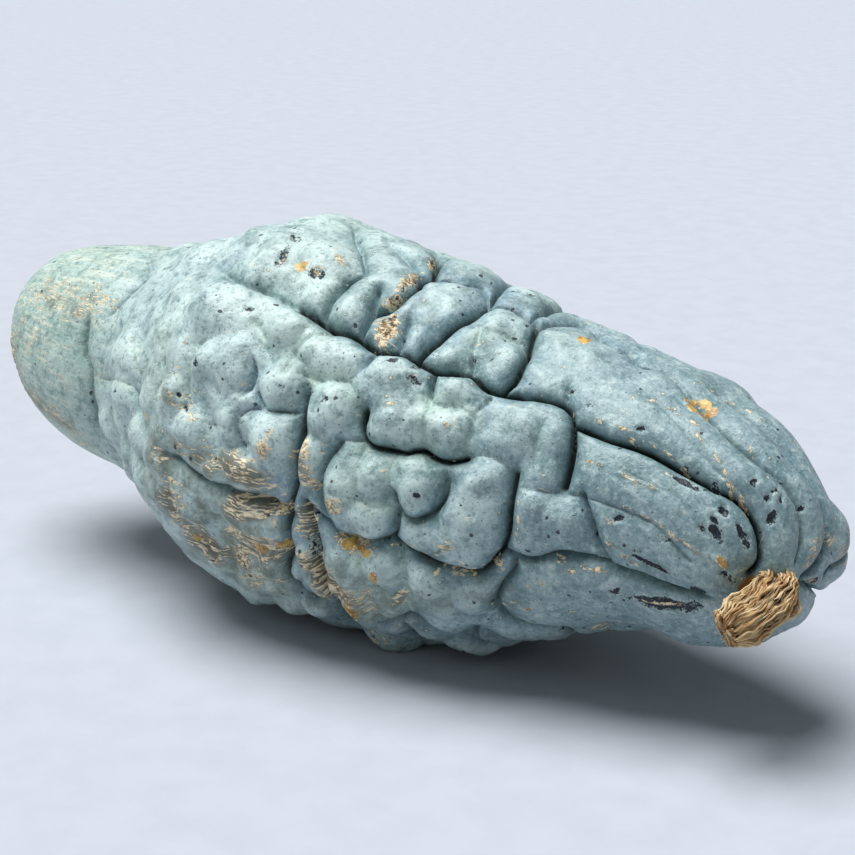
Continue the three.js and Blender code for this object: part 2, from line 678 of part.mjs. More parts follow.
function fruitGeometry(extra = 0) {
  const { places, spacing } = ringPlaces();
  const grid = [];
  for (let i = 0; i < places.length; i += 1) {
    const row = [];
    for (let j = 0; j < SIDES; j += 1) row.push(snapped(places[i], (360 * j) / SIDES, spacing));
    grid.push(row);
  }
  const points = [skin(TIP, 0, extra)];
  for (const row of grid) for (const [along, around] of row) points.push(skin(along, around, extra));
  points.push(skin(POLE, 0, extra));
  const at = (i, j) => 1 + i * SIDES + (j % SIDES);
  const pole = points.length - 1;
  const faces = [];
  for (let j = 0; j < SIDES; j += 1) {
    faces.push([0, at(0, j + 1), at(0, j)]);
    faces.push([pole, at(places.length - 1, j), at(places.length - 1, j + 1)]);
  }
  for (let i = 0; i < places.length - 1; i += 1) {
    for (let j = 0; j < SIDES; j += 1) {
      const a = at(i, j);
      const b = at(i, j + 1);
      const c = at(i + 1, j + 1);
      const d = at(i + 1, j);
      // the diagonal whose middle lies nearer to the true skin
      const corners = [grid[i][j], grid[i][(j + 1) % SIDES], grid[i + 1][(j + 1) % SIDES], grid[i + 1][j]];
      const along = corners.reduce((sum, corner) => sum + corner[0], 0) / 4;
      const turn = corners.reduce((sum, corner) => sum + shortTurn(corners[0][1], corner[1]), 0) / 4;
      const middle = skin(along, corners[0][1] + turn, extra);
      const ac = points[a].clone().add(points[c]).multiplyScalar(0.5).distanceTo(middle);
      const bd = points[b].clone().add(points[d]).multiplyScalar(0.5).distanceTo(middle);
      if (ac < bd) faces.push([a, b, c], [a, c, d]);
      else faces.push([a, b, d], [b, c, d]);
    }
  }
  return geometryFrom(points, faces);
}

function geometryFrom(points, faces) {
  const geometry = new THREE.BufferGeometry();
  const flat = points.flatMap((point) => [point.x, point.y, point.z]);
  geometry.setAttribute("position", new THREE.Float32BufferAttribute(flat, 3));
  geometry.setIndex(faces.flat());
  geometry.computeVertexNormals();
  return geometry;
}

// The stem's stub: a ribbed, twisted sweep that ends in a hollowed cut

function stemGeometry() {
  const path = new THREE.CatmullRomCurve3(STEM_PATH.map((p) => new THREE.Vector3(...p)));
  const random = seeded(STEM_SEED);
  const ribs = Array.from({ length: STEM_RIBS }, () => [random(), random()]);
  const places = STEM_RADII.map((_, i) => i / (STEM_RADII.length - 1));
  const up = new THREE.Vector3(0, 0, 1);
  const points = [path.getPoint(0)];
  const ring = (t, shrink, push) => {
    const middle = path.getPoint(t);
    const tangent = path.getTangent(t);
    const side = new THREE.Vector3().crossVectors(tangent, up).normalize();
    const over = new THREE.Vector3().crossVectors(side, tangent);
    const base = through(places, STEM_RADII, t);
    for (let j = 0; j < STEM_SIDES; j += 1) {
      const angle = (2 * Math.PI * j) / STEM_SIDES;
      const turned = angle + STEM_TWIST * t;
      const share = (turned / (2 * Math.PI)) * STEM_RIBS;
      const rib = ribs[((Math.floor(share) % STEM_RIBS) + STEM_RIBS) % STEM_RIBS];
      const wave = Math.abs(Math.sin(Math.PI * share)) * (0.6 + 0.8 * rib[0]);
      const oval = 1 + STEM_OVAL * Math.sin(2 * angle + 1);
      const r = (base * oval + STEM_RIB_HEIGHT * (wave - 0.6)) * shrink;
      const point = middle.clone().addScaledVector(side, r * Math.cos(angle));
      point.addScaledVector(over, r * Math.sin(angle));
      points.push(point.addScaledVector(tangent, push));
    }
  };
  for (let i = 0; i < STEM_SECTIONS; i += 1) ring(i / (STEM_SECTIONS - 1), 1, 0);
  for (let i = 1; i <= STEM_CUT_RINGS; i += 1) {
    const t = i / (STEM_CUT_RINGS + 1);
    ring(1, 1 - t, -STEM_CUT_DEPTH * smooth(0, 0.7, t));
  }
  points.push(path.getPoint(1).addScaledVector(path.getTangent(1), -STEM_CUT_DEPTH));
  const rows = STEM_SECTIONS + STEM_CUT_RINGS;
  const last = points.length - 1;
  const at = (i, j) => 1 + i * STEM_SIDES + (j % STEM_SIDES);
  const faces = [];
  for (let j = 0; j < STEM_SIDES; j += 1) {
    faces.push([0, at(0, j), at(0, j + 1)]);
    faces.push([last, at(rows - 1, j + 1), at(rows - 1, j)]);
    for (let i = 0; i < rows - 1; i += 1) {
      faces.push([at(i, j), at(i + 1, j + 1), at(i, j + 1)], [at(i, j), at(i + 1, j), at(i + 1, j + 1)]);
    }
  }
  return geometryFrom(points, faces);
}

// The stem's root is cut to the skin that it stands on

const wasm = await Module();
wasm.setup();

function toSolid(geometry) {
  return new wasm.Manifold(
    new wasm.Mesh({
      numProp: 3,
      vertProperties: new Float32Array(geometry.getAttribute("position").array),
      triVerts: new Uint32Array(geometry.getIndex().array),
    }),
  );
}

function toGeometry(solid) {
  const { numProp, vertProperties, triVerts } = solid.getMesh();
  const flat = [];
  for (let i = 0; i < vertProperties.length; i += numProp) flat.push(...vertProperties.slice(i, i + 3));
  const geometry = new THREE.BufferGeometry();
  geometry.setAttribute("position", new THREE.Float32BufferAttribute(flat, 3));
  geometry.setIndex([...triVerts]);
  geometry.computeVertexNormals();
  return geometry;
}

const stemSolid = toSolid(stemGeometry()).subtract(toSolid(fruitGeometry(STEM_GAP)));

const squashBody = new THREE.Mesh(
  fruitGeometry(),
  new THREE.MeshStandardMaterial({ color: SKIN_COLOUR, roughness: 0.62, metalness: 0 }),
);
squashBody.name = "squash_body";

const stem = new THREE.Mesh(
  toGeometry(stemSolid),
  new THREE.MeshStandardMaterial({ color: STEM_COLOUR, roughness: 0.9, metalness: 0 }),
);
stem.name = "stem";

const squash = new THREE.Group();
squash.add(squashBody, stem);

export default squash;
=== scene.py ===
"""A warty, elongated winter squash on its side, with a dry stem stub, on a plain pale floor.

Units are millimetres until a mesh is made, then metres. +Z is up, +X points toward the stem end
and -Y toward the side that shows in front. Places on the skin are [along, around]: along is a level
distance toward +X, around is an angle in degrees about the centre line, 0 on top, 90 in front,
180 underneath and -90 behind.
"""

import math

import bpy
import numpy as np
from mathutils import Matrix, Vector, kdtree


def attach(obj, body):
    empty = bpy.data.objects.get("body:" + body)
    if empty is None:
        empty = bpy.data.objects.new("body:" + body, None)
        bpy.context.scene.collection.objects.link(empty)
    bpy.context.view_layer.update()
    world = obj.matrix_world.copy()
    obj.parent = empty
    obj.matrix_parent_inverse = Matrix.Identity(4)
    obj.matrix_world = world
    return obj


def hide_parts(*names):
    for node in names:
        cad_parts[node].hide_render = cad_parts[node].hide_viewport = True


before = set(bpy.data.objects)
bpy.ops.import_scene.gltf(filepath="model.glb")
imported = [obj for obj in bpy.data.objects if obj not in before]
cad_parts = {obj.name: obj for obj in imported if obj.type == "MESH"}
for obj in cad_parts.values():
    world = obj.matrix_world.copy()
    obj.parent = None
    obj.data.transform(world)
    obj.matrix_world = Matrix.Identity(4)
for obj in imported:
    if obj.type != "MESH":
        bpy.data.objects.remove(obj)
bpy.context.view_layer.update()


def placed(name, data):
    """Links a mesh, a light or a camera into the scene as an object."""
    piece = bpy.data.objects.new(name, data)
    bpy.context.scene.collection.objects.link(piece)
    return piece


def aim(thing, toward):
    """Turns a camera or a light so that it looks from the given direction."""
    thing.rotation_mode = "QUATERNION"
    thing.rotation_quaternion = (-toward).to_track_quat("-Z", "Y")


# The camera, at the photograph's viewing angle

CAMERA_AZIMUTH = 38.0
CAMERA_ELEVATION = 16.7
CAMERA_DISTANCE = 1.040
CAMERA_TARGET = Vector((0.0334, 0.0013, 0.1083))
CAMERA_FOCUS_PX = 2000.0
PICTURE_PX = 855.0
SENSOR = 36.0

azimuth = math.radians(CAMERA_AZIMUTH)
elevation = math.radians(CAMERA_ELEVATION)
level = math.cos(elevation)
toward_camera = Vector((math.sin(azimuth) * level, -math.cos(azimuth) * level, math.sin(elevation)))
camera_data = bpy.data.cameras.new("camera")
camera_data.sensor_width = SENSOR
camera_data.lens = SENSOR * CAMERA_FOCUS_PX / PICTURE_PX
camera_data.clip_end = 50
camera = placed("camera", camera_data)
camera.location = CAMERA_TARGET + CAMERA_DISTANCE * toward_camera
aim(camera, toward_camera)
bpy.context.scene.camera = camera

# The fruit's overall form

START_X = -256  # where along is 0
CENTRE_Y = 1.3  # brings the middle of the bounding box over the origin
TIP = -11  # the blossom tip's along
POLE = 506  # the stem pole's along
LENGTH = POLE - TIP
STATIONS = [
    # along, y and z of the centre line, radius over the tops of the lumps
    [TIP, 0, 120.5, 0],
    [23, 0, 121, 48],
    [63, 0, 115, 62],
    [108, 0, 112, 67.5],
    [148, 0, 110.5, 81.5],
    [193, 0, 105, 102.5],
    [243, 0, 100, 103],
    [303, 0, 95, 99],
    [358, 0, 95, 87],
    [400, -0.3, 98.3, 73.5],
    [432, -1.7, 97.6, 65.5],
    [458, -5.5, 93.5, 59],
    [478, -13, 87, 52],
    [493, -23.5, 81, 42.5],
    [POLE, -38, 77, 0],
]
NUDGE = 15  # a ring's plane follows the centre line's direction over this length each way
SLOPE_STEP = 0.5  # the skin's slope is measured over this length each way

# Creases between the lumps

CREASE_DEPTH = 4.5  # of the narrow cleft itself
CREASE_REACH = 7.5  # how far the cleft's rounded lip reaches
BULGE_DEPTH = 7  # how much lower a lump's edge lies than its middle
BULGE_REACH = 25
CREASE_STEP = 4  # spacing of the points on a crease
CREASE_CURVE_STEPS = 8  # to each traced point, where the crease's curve is measured
CREASE_MARK_REACH = 12  # how far beside a line the rind's tone follows it, and in a crease its painted shade
FADE = 14  # a crease's open end gets shallower over this length
CROWDED = [440, 500]  # toward the pole the ribs narrow, and with them the reach of a crease
CROWDED_SHARE = 0.5
VALLEY_DEPTH = 4.5  # the lines that divide a lump
VALLEY_REACH = 13

# Every line is a share of the full depth, the ends that fade ("start", "end", "both" or "none"),
# and then the crease's points.
CREASES = [
    # the long crease below the shoulder, from the nose's side to the stem
    [0.6, "start", [[186, 33], [209, 36], [228, 36], [250, 38]]],
    [1, "none", [[250, 38], [274, 40], [291, 40], [307, 42], [322, 40], [342, 42], [352, 40], [362, 39]]],
    [1, "none", [[362, 39], [373, 42], [390, 41], [408, 40], [415, 47]]],
    [1, "none", [[415, 47], [424, 47], [436, 47], [450, 45], [464, 44], [476, 41]]],
    [1, "none", [[476, 41], [487, 34], [495, 22], [500, 13], [504, 10], [505, 30]]],
    # lumps above it
    [0.9, "end", [[265, 38], [263, 30], [262, 23], [268, 16]]],
    [0.9, "none", [[291, 40], [288, 32], [283, 26], [279, 21]]],
    [1, "none", [[288, 30], [296, 23], [296, 14], [291, 9], [295, 5], [288, 0], [274, -12], [260, -20]]],
    [0.8, "start", [[306, 22], [311, 29], [318, 40]]],
    [1, "none", [[330, 40], [331, 33], [333, 26], [337, 17], [338, 9], [337, 5]]],
    [0.8, "none", [[295, 5], [303, 2], [311, 1], [317, -4], [327, -1], [337, 5]]],
    [0.9, "none", [[337, 5], [330, -3], [318, -18], [306, -30]]],
    [1, "none", [[337, 5], [345, 3], [358, 2], [371, 5]]],
    [1, "none", [[371, 5], [376, 14], [381, 24], [383, 33], [380, 41]]],
    [0.7, "start", [[352, 28], [358, 34], [362, 39]]],
    [0.8, "end", [[362, 2], [360, -8], [354, -20], [344, -32]]],
    [0.7, "none", [[371, 5], [377, -11], [384, -16], [392, -10], [402, -3], [409, -6], [418, 2], [426, -2]]],
    [0.6, "start", [[244, -5], [257, -2], [272, 2], [285, 6]]],
    [0.6, "start", [[222, -6], [242, 4], [256, 12], [266, 18]]],
    [0.7, "end", [[408, 40], [406, 35], [404, 28]]],
    # lumps below it, down to the middle of the front
    [0.7, "end", [[307, 42], [305, 47], [303, 52]]],
    [0.9, "end", [[342, 42], [344, 49], [348, 55]]],
    [1, "none", [[313, 60], [315, 66], [320, 70], [333, 70], [342, 70]]],
    [1, "none", [[342, 70], [349, 68], [357, 70], [365, 70], [372, 68]]],
    [0.6, "end", [[376, 45], [374, 50], [372, 55]]],
    [1, "none", [[415, 47], [419, 56], [420, 66], [420, 73]]],
    [1, "start", [[272, 55], [278, 61], [282, 69], [283, 78], [283, 86], [279, 95]]],
    [0.7, "start", [[304, 70], [311, 70], [318, 69]]],
    [0.8, "none", [[306, 71], [301, 77], [298, 86], [300, 93], [306, 99]]],
    [0.9, "start", [[364, 71], [364, 82], [358, 88], [350, 91], [343, 90], [339, 83]]],
    [0.9, "none", [[340, 88], [340, 94], [336, 98], [325, 100], [310, 100], [299, 96], [289, 92]]],
    [1, "none", [[337, 98], [348, 103], [361, 107], [371, 110], [379, 110], [385, 106], [390, 102]]],
    [1, "none", [[397, 71], [397, 80], [396, 88], [394, 95], [390, 102]]],
    [0.8, "none", [[430, 73], [438, 83], [445, 94], [456, 103]]],
    # lumps at the lower front, toward the ground
    [0.9, "none", [[390, 102], [400, 104], [411, 104], [422, 101], [434, 101], [446, 101], [457, 104]]],
    [0.9, "end", [[457, 104], [467, 106], [477, 107], [488, 106], [497, 108], [504, 114]]],
    [0.9, "none", [[396, 105], [394, 111], [385, 117], [378, 126], [378, 136], [385, 141], [396, 146]]],
    [0.6, "end", [[367, 110], [364, 118]]],
    [0.6, "both", [[358, 127], [366, 131], [378, 130]]],
    [0.9, "none", [[300, 137], [312, 139], [321, 137], [330, 132], [337, 138], [346, 146], [352, 158]]],
    [0.8, "none", [[324, 138], [323, 150], [326, 162], [332, 172]]],
    [0.8, "none", [[352, 150], [361, 140], [368, 150], [370, 166]]],
    [0.7, "none", [[402, 147], [398, 158], [392, 170]]],
    # the old split in the skin, left of the middle, and the lumps around it
    [1, "none", [[279, 95], [278, 102], [278, 109], [275, 116], [274, 124], [277, 130], [287, 130]]],
    [1, "none", [[289, 92], [292, 98], [294, 108], [294, 118], [296, 126], [293, 136], [287, 148]]],
    [0.9, "start", [[198, 91], [216, 92], [229, 94], [246, 95], [264, 95], [277, 96]]],
    [0.8, "both", [[237, 54], [243, 58], [246, 63], [243, 69]]],
    [0.5, "none", [[254, 83], [248, 78], [246, 73], [250, 70], [258, 69], [268, 68], [281, 66]]],
    [0.7, "start", [[248, 61], [251, 65], [257, 68]]],
    # the nose's collar and the dips near it
    [0.75, "both", [[90, 52], [92, 64], [95, 74], [101, 82], [104, 96], [107, 110], [113, 124]]],
    [0.5, "start", [[104, 57], [110, 50], [114, 42], [118, 32]]],
    [0.5, "both", [[97, 12], [105, 17], [116, 27]]],
    # ribs that run into the stem
    [0.35, "start", [[398, 75], [410, 76], [434, 74], [460, 74], [474, 74], [490, 75], [498, 79]]],
    [0.5, "none", [[426, -2], [440, 4], [452, 9], [466, 11], [478, 7], [488, -6], [495, -20], [502, -38]]],
    [0.8, "start", [[440, -12], [456, -13], [470, -16], [481, -25], [490, -40], [496, -54], [502, -62]]],
    [0.8, "none", [[503, -66], [500, -82], [495, -96], [486, -106]]],
    [0.8, "start", [[420, 150], [440, 152], [456, 158], [472, 164], [484, 172], [494, 184]]],
]

VALLEYS = [
    [1, "none", [[274, 41], [267, 46], [262, 51], [264, 57]]],
    [1, "none", [[272, 56], [286, 56], [298, 54], [307, 57], [313, 61]]],
    [1, "none", [[348, 54], [350, 62], [351, 69]]],
    [1, "none", [[346, 53], [354, 53], [363, 52], [373, 54]]],
    [1, "none", [[373, 54], [373, 61], [370, 68]]],
    [0.8, "none", [[372, 68], [382, 66], [397, 70]]],
    [0.9, "start", [[343, 16], [350, 22], [352, 28]]],
    [0.9, "none", [[350, 22], [362, 20], [372, 18], [380, 19]]],
    [0.7, "both", [[304, 15], [313, 19], [322, 20], [331, 19]]],
    [0.8, "both", [[404, 43], [404, 52], [404, 62], [408, 72]]],
    [0.6, "both", [[389, 44], [387, 54], [390, 64]]],
    [0.7, "both", [[412, 77], [413, 87], [412, 100]]],
    [0.8, "none", [[336, 70], [336, 78], [337, 86]]],
    [0.8, "none", [[319, 71], [319, 79], [320, 86]]],
    [0.8, "none", [[306, 86], [318, 86], [328, 88], [338, 87]]],
    [0.7, "both", [[352, 92], [350, 98], [354, 105]]],
    [0.8, "none", [[341, 101], [342, 110], [338, 120], [332, 131]]],
    [0.8, "none", [[318, 101], [320, 112], [316, 124], [318, 137]]],
    [0.7, "none", [[344, 121], [354, 119], [366, 118]]],
    [0.7, "both", [[406, 105], [406, 115], [402, 126]]],
    [0.8, "both", [[302, 101], [304, 112], [300, 124]]],
    [0.9, "both", [[211, 53], [206, 62], [209, 72], [218, 78]]],
    [0.8, "both", [[218, 78], [230, 78], [240, 75]]],
    [0.8, "both", [[222, 45], [234, 47], [244, 51], [252, 56], [262, 55]]],
    [0.7, "both", [[152, 52], [150, 62], [156, 72], [168, 76]]],
    [0.7, "both", [[172, 50], [180, 60], [186, 72], [194, 82]]],
    [0.7, "both", [[106, 84], [124, 82], [142, 79], [158, 80], [172, 84]]],
    [0.7, "both", [[160, 99], [186, 99], [212, 103], [238, 106], [258, 109]]],
    [0.8, "both", [[214, 112], [226, 120], [240, 125], [256, 127], [273, 126]]],
    [0.6, "both", [[130, 104], [150, 112], [172, 122], [196, 130]]],
    [0.6, "both", [[214, 14], [226, 22], [240, 27], [256, 28]]],
    [0.6, "both", [[196, 14], [202, 24], [204, 34]]],
    [0.6, "both", [[394, 8], [398, 16], [398, 27]]],
    [0.6, "start", [[420, 14], [436, 21], [452, 26], [464, 30], [475, 31], [485, 27], [496, 16]]],
    [0.8, "both", [[438, 3], [452, 9], [466, 11], [478, 7], [488, -6], [495, -20], [502, -38]]],
    [0.5, "both", [[430, 58], [450, 58], [470, 57], [487, 56]]],
    [0.5, "both", [[424, 120], [444, 122], [464, 126], [480, 136]]],
    # the collar's far side
    [0.5, "none", [[113, 124], [118, 150], [112, 180], [104, 210], [108, 250]]],
    [0.5, "none", [[108, 250], [100, 290], [106, 325], [100, 360]]],
]

# Rounded lumps that stand up from the skin: along, around, radius, height
DOME_ROUNDNESS = 1.1
DOMES = [
    [234, 60, 16, 7],
    [264, 61, 15.5, 7],
    [269, 76, 17, 7.5],
    [202, 45, 21, 5],
    [251, 44, 13, 5],
    [271, 47, 11, 4.5],
    [214, 62, 11, 4.5],
    [245, 69, 8, 3],
    [242, 76, 12, 5],
    [219, 81, 14, 5],
    [254, 88, 14, 5.5],
    [220, 93, 12, 4],
    [235, 92, 10, 4],
    [216, 103, 15, 5],
    [253, 101, 18, 6],
    [273, 103, 12, 4.5],
    [270, 117, 13, 6],
    [243, 126, 12, 5],
    [228, 122, 12, 4.5],
    [289, 110, 9, 5.5],
    [293, 121, 10, 5.5],
    [229, 145, 12, 4.5],
    [256, 142, 12, 5],
    [278, 135, 10, 5],
    [119, 8, 15, 2.5],
    [145, 14, 13, 3],
    [215, 29, 14, 4],
    [243, 22, 12, 3.5],
    [138, 68, 16, 3],
    [144, 84, 13, 3.5],
    [121, 106, 14, 3.5],
    [168, 95, 13, 4],
    [193, 96, 12, 4],
    [178, 58, 15, 3.5],
    [198, 74, 12, 4],
    [176, 78, 11, 3.5],
    [170, 42, 20, 3],
    [286, 48, 16, 4.5],
    [293, 63, 17, 6],
    [292, 79, 14, 4.5],
    [236, 20, 24, 6],
    [214, 20, 18, 4.5],
    [258, 32, 14, 4.5],
    [190, -14, 30, 2],
    [176, 12, 22, 4.5],
    [152, 22, 18, 4],
    [275, 32, 13, 4.5],
    [196, 104, 17, 4],
    [172, 108, 16, 4.5],
    [148, 112, 15, 4.5],
    [310, 110, 15, 4.5],
    [330, 109, 14, 4.5],
    [350, 112, 14, 4.5],
    [309, 128, 14, 4.5],
    [328, 125, 13, 4],
    [378, 118, 14, 4],
    [413, 112, 17, 4.5],
    [440, 112, 17, 4],
    [347, 80, 16, 4.5],
    [347, 97, 12, 3],
    [326, 79, 13, 4],
    [310, 84, 12, 4],
    [327, 93, 13, 4],
    [378, 90, 22, 4],
    [405, 86, 15, 4],
    [342, 37, 11, 2.5],
    [355, 21, 11, 2.5],
    [378, 29, 12, 3.5],
    [321, 46, 13, 3],
    [329, 64, 11, 2.5],
    [349, 61, 11, 2.5],
    [361, 44, 11, 2.5],
    [366, 58, 12, 3],
    [392, 56, 15, 3],
    [413, 54, 11, 2.5],
    [382, 76, 11, 2.5],
    [391, 90, 12, 2.5],
    [302, 60, 13, 2.5],
    [422, 88, 14, 4],
    [302, 156, 17, 7.5],
    [343, 158, 15, 6],
    [432, -48, 24, 7],
    [484, -74, 21, 7],
]

# Grooves that the hidden side gets by rule, from the shoulder to the stem
BACK_RIB_STARTS = [-74, -104, -134, -162]
BACK_RIB_ALONG = [404, 430, 456, 478, 496]
BACK_RIB_DEPTH = 0.8
BACK_RIB_WANDER = 4  # degrees

# Lumps on the hidden side grow by rule, in cells round seeded points
CELL_SEED = 41
CELL_SPACING = [25, 37]  # nearest that two cell centres may lie, smallest and largest
CELL_TRIES = 2600
CELL_ALONG = [118, 432]  # where the cells are, between the nose and the ribs
CELL_FADE = 26
CELL_WARP = 4.5  # how far the borders of the cells wander
CELL_SPILL = 14  # degrees past its own zone that a cell may still start
CELL_ROOM = 60  # the cells round a place lie within this distance
WARP_WAVES = 5
WARP_LENGTHS = [24, 48]
BACK_AROUND = [-24, -38]  # the traced lumps end and the cells begin, behind the top
UNDER_AROUND = [150, 164]  # and underneath

# Knuckles: small cells over the lumps between the nose and the ribs, stronger in some patches
KNUCKLE_SEED = 63
KNUCKLE_TRIES = 9000
KNUCKLE_SPACING = [13.5, 26]
KNUCKLE_DEPTH = 3.8
KNUCKLE_REACH = 10.5
KNUCKLE_WARP = 2.2
KNUCKLE_STARTS = [116, 142]
KNUCKLE_ENDS = [372, 408]
KNUCKLE_WEAK_SHARE = 0.5  # where the lumps are traced ones
KNUCKLE_TONE = 0.8  # how strongly their lines show in the rind's tone
KNUCKLE_PATCH_WAVES = 6
KNUCKLE_PATCHES = [70, 120]  # lengths of the waves that make them stronger and weaker
KNUCKLE_PATCH_RANGE = [-1.2, 0.6]

# Gentle swell that keeps the lumps from being alike
SWELL_SEED = 7
SWELL_WAVES = 9
SWELL_LENGTHS = [34, 70]
SWELL_HEIGHT = 1.1
SWELL_STARTS = [80, 130]  # the nose is smooth
SWELL_CALMS = [430, 480]  # and the ribs nearly so
CALM_SHARE = 0.4

# Blossom scar at the tip and the hollow that the stem stands in
SCAR_RADIUS = 11
SCAR_HEIGHT = 2.2
SCAR_FLAT_SHARE = 0.6  # of its radius
HOLLOW_RADIUS = 26
HOLLOW_DEPTH = 4

# Finer relief than the solids carry

CUT_DEPTH = 2.0  # the tight line where two lumps meet
CUT_REACH = 1.8
CUT_LEAST = 0.4  # its share of the depth where the ribs crowd
BULGE_ROUNDING = 3.0  # blur lengths of the crests that lie between the lines
VALLEY_ROUNDING = 2.5
KNUCKLE_ROUNDING = 2.0
SHARP_SHARES = [0.25, 0.6]  # from the second share of its depth on, a line isn't blurred
KNOB_SEED = 5
KNOB_TRIES = 5200
KNOB_ALONG = [112, 440]
KNOB_SPACING = [8, 17]  # nearest that two knobs may lie, smallest and largest
KNOB_WIDTH = 0.72  # a knob's radius as a share of its spacing
KNOB_HEIGHT = 0.11  # and its height
KNOB_LEAST = 0.35  # the lowest knob's share of that height
KNOB_FADES = [24, 40]  # lengths over which the knobs start and end
RIPPLE_SIZES = [11.0, 5.0]  # of the skin's uneven surface
RIPPLE_HEIGHTS = [0.7, 0.3]
CALM_RIPPLE = 0.25  # its share where the skin is smooth
RIB_WAVE_COUNT = 46  # fine lengthwise ridges round the nose and the stem end
RIB_WAVE_HEIGHT = 0.1
RIB_WAVE_WANDER = 2.2  # radians of a ridge's wave
RIB_WAVE_SIZE = 60
RIB_NOSE_ENDS = [60, 120]  # the ridges end here on the nose
RIB_STEM_STARTS = [400, 450]  # and start again here
RIB_POLE_GAP = [8, 30]  # they fade at this distance from the tip and the pole
GRAIN_SIZE = 2.2  # of the crumbs on scabs and blemishes
CORK_RISE = 0.55  # how far a corky scab stands up
CORK_EDGE = [0.3, 0.8]  # a mark's strength where its relief starts and where it is full
CORK_FRAY = 0.35  # how far the grain makes its edge uneven
CORK_GRAIN = 0.25  # height of the crumbs on it
GOLD_RISE = 0.4
GOLD_EDGE = [0.2, 0.7]
PIT_DEPTH = 1.3
PIT_EDGE = [0.45, 0.9]
PIT_FRAY = 0.4

# Marks on the skin: along, around, half length, half width, turn in degrees, strength.
# The half length lies along the fruit when the turn is 0.
MARK_SPREAD = 1.5  # a mark fades to nothing at this many times its size
CORK = [
    [304, 34, 12, 6, 75, 1],
    [288, 13, 13, 3, 80, 1],
    [292, 23, 5.5, 3, -50, 0.9],
    [279, -4, 10, 3, 65, 0.8],
    [251, 19, 2.5, 4.5, -55, 0.8],
    [245, 25, 5.5, 3.5, -40, 0.6],
    [224, 26, 5.5, 2.5, 80, 0.6],
    [197, 58, 2, 3.5, -15, 0.6],
    [179, 84, 3, 3, 0, 1],
    [268, 79, 4, 5, 15, 1],
    [269, 74, 2, 2, 0, 0.8],
    [290, 76, 3, 6, -20, 1],
    [294, 83, 2, 9, -15, 0.8],
    [307, 90, 6, 5, -15, 1],
    [309, 101, 4.5, 2.5, 0, 0.9],
    [275, 96, 5, 5, 15, 0.8],
    [244, 109, 9, 4.5, -15, 0.9],
    [246, 117, 7, 8, -10, 1],
    [213, 115, 12, 5, 30, 0.7],
    [208, 97, 7.5, 2, 0, 0.7],
    [236, 87, 4.5, 2, 0, 0.7],
    [255, 87, 11, 3, 15, 0.6],
    [292, 117, 3, 6, 45, 0.7],
    [305, 124, 10, 7, -35, 0.8],
    [301, 147, 7, 5, 75, 0.6],
    [317, 102, 10, 4, 0, 0.9],
    [328, 57, 4, 1.5, -10, 0.8],
    [361, 59, 2, 2, 0, 0.9],
    [365, 98, 4.5, 3, -15, 0.8],
    [386, 107, 5.5, 2.5, -30, 0.7],
    [494, 23, 1.5, 4.5, 75, 1],
    [486, 28, 1.5, 4, 70, 0.8],
    [473, 8, 4, 4.5, 65, 0.5],
    [451, 81, 2, 2.5, -25, 0.6],
    [499, -45, 2.5, 7, 50, 0.7],
    [502, 58, 2, 2.5, -55, 0.9],
    [500, -75, 2.5, 2.5, 20, 0.7],
    [269, 122, 2.5, 6, 20, 0.7],
    [493, 121, 8, 1.6, 0, 0.8],
    [22, 92, 6, 12, 0, 0.6],
    [30, 114, 10, 12, 0, 0.6],
    [83, 130, 14, 7, 0, 0.5],
]
STREAKS = [
    [258, 97, 17, 8, 0, 1],
    [255, 87, 17, 7, 15, 0.9],
    [229, 87, 14, 5, 0, 0.7],
    [289, 82, 7, 12, -20, 0.8],
    [290, 98, 7, 12, -5, 0.9],
    [262, 110, 20, 9, -10, 0.9],
    [218, 116, 17, 11, 35, 0.9],
    [208, 104, 11, 11, 35, 0.7],
    [297, 120, 12, 14, 0, 0.9],
    [313, 122, 10, 10, 40, 0.7],
    [292, 112, 8, 10, -10, 0.8],
    [199, 92, 8, 4, 65, 0.6],
    [207, 75, 16, 6, 15, 0.5],
    [250, 123, 15, 12, 35, 0.6],
    [226, 88, 26, 6, 5, 0.6],
    [60, 50, 42, 14, 0, 0.5],
    [40, 75, 24, 16, 0, 0.4],
    [96, 47, 18, 5, 0, 0.6],
    [60, 116, 34, 12, 0, 0.6],
    [334, 120, 4.5, 5, 15, 0.8],
    [368, 109, 22, 5, 0, 0.4],
    [400, 112, 26, 7, 0, 0.3],
    [302, 33, 10, 6, 60, 0.8],
    [493, -48, 5, 8, 0, 0.6],
]
GOLD = [
    [449, 13, 4, 2.5, 0, 1],
    [453, 11, 2.5, 4, 0, 1],
    [453, 6, 2.5, 4, 0, 1],
    [449, 4, 4, 2.5, 0, 1],
    [445, 8, 2.5, 4.5, 0, 1],
    [236, 26, 4.5, 3.5, -35, 0.8],
    [262, 111, 7, 3, -10, 0.7],
    [276, 108, 7, 4, -20, 0.7],
    [216, 116, 5, 4, 35, 0.6],
    [314, 102, 4.5, 2.5, 0, 0.9],
    [322, 103, 6, 2.5, 5, 0.8],
    [327, 110, 3.5, 6, 20, 0.7],
    [307, 126, 5, 6, -30, 0.8],
    [395, 6, 4.5, 5, 0, 0.8],
    [502, 57, 1.5, 2.5, -55, 0.8],
    [20, 96, 5, 10, 0, 0.5],
]
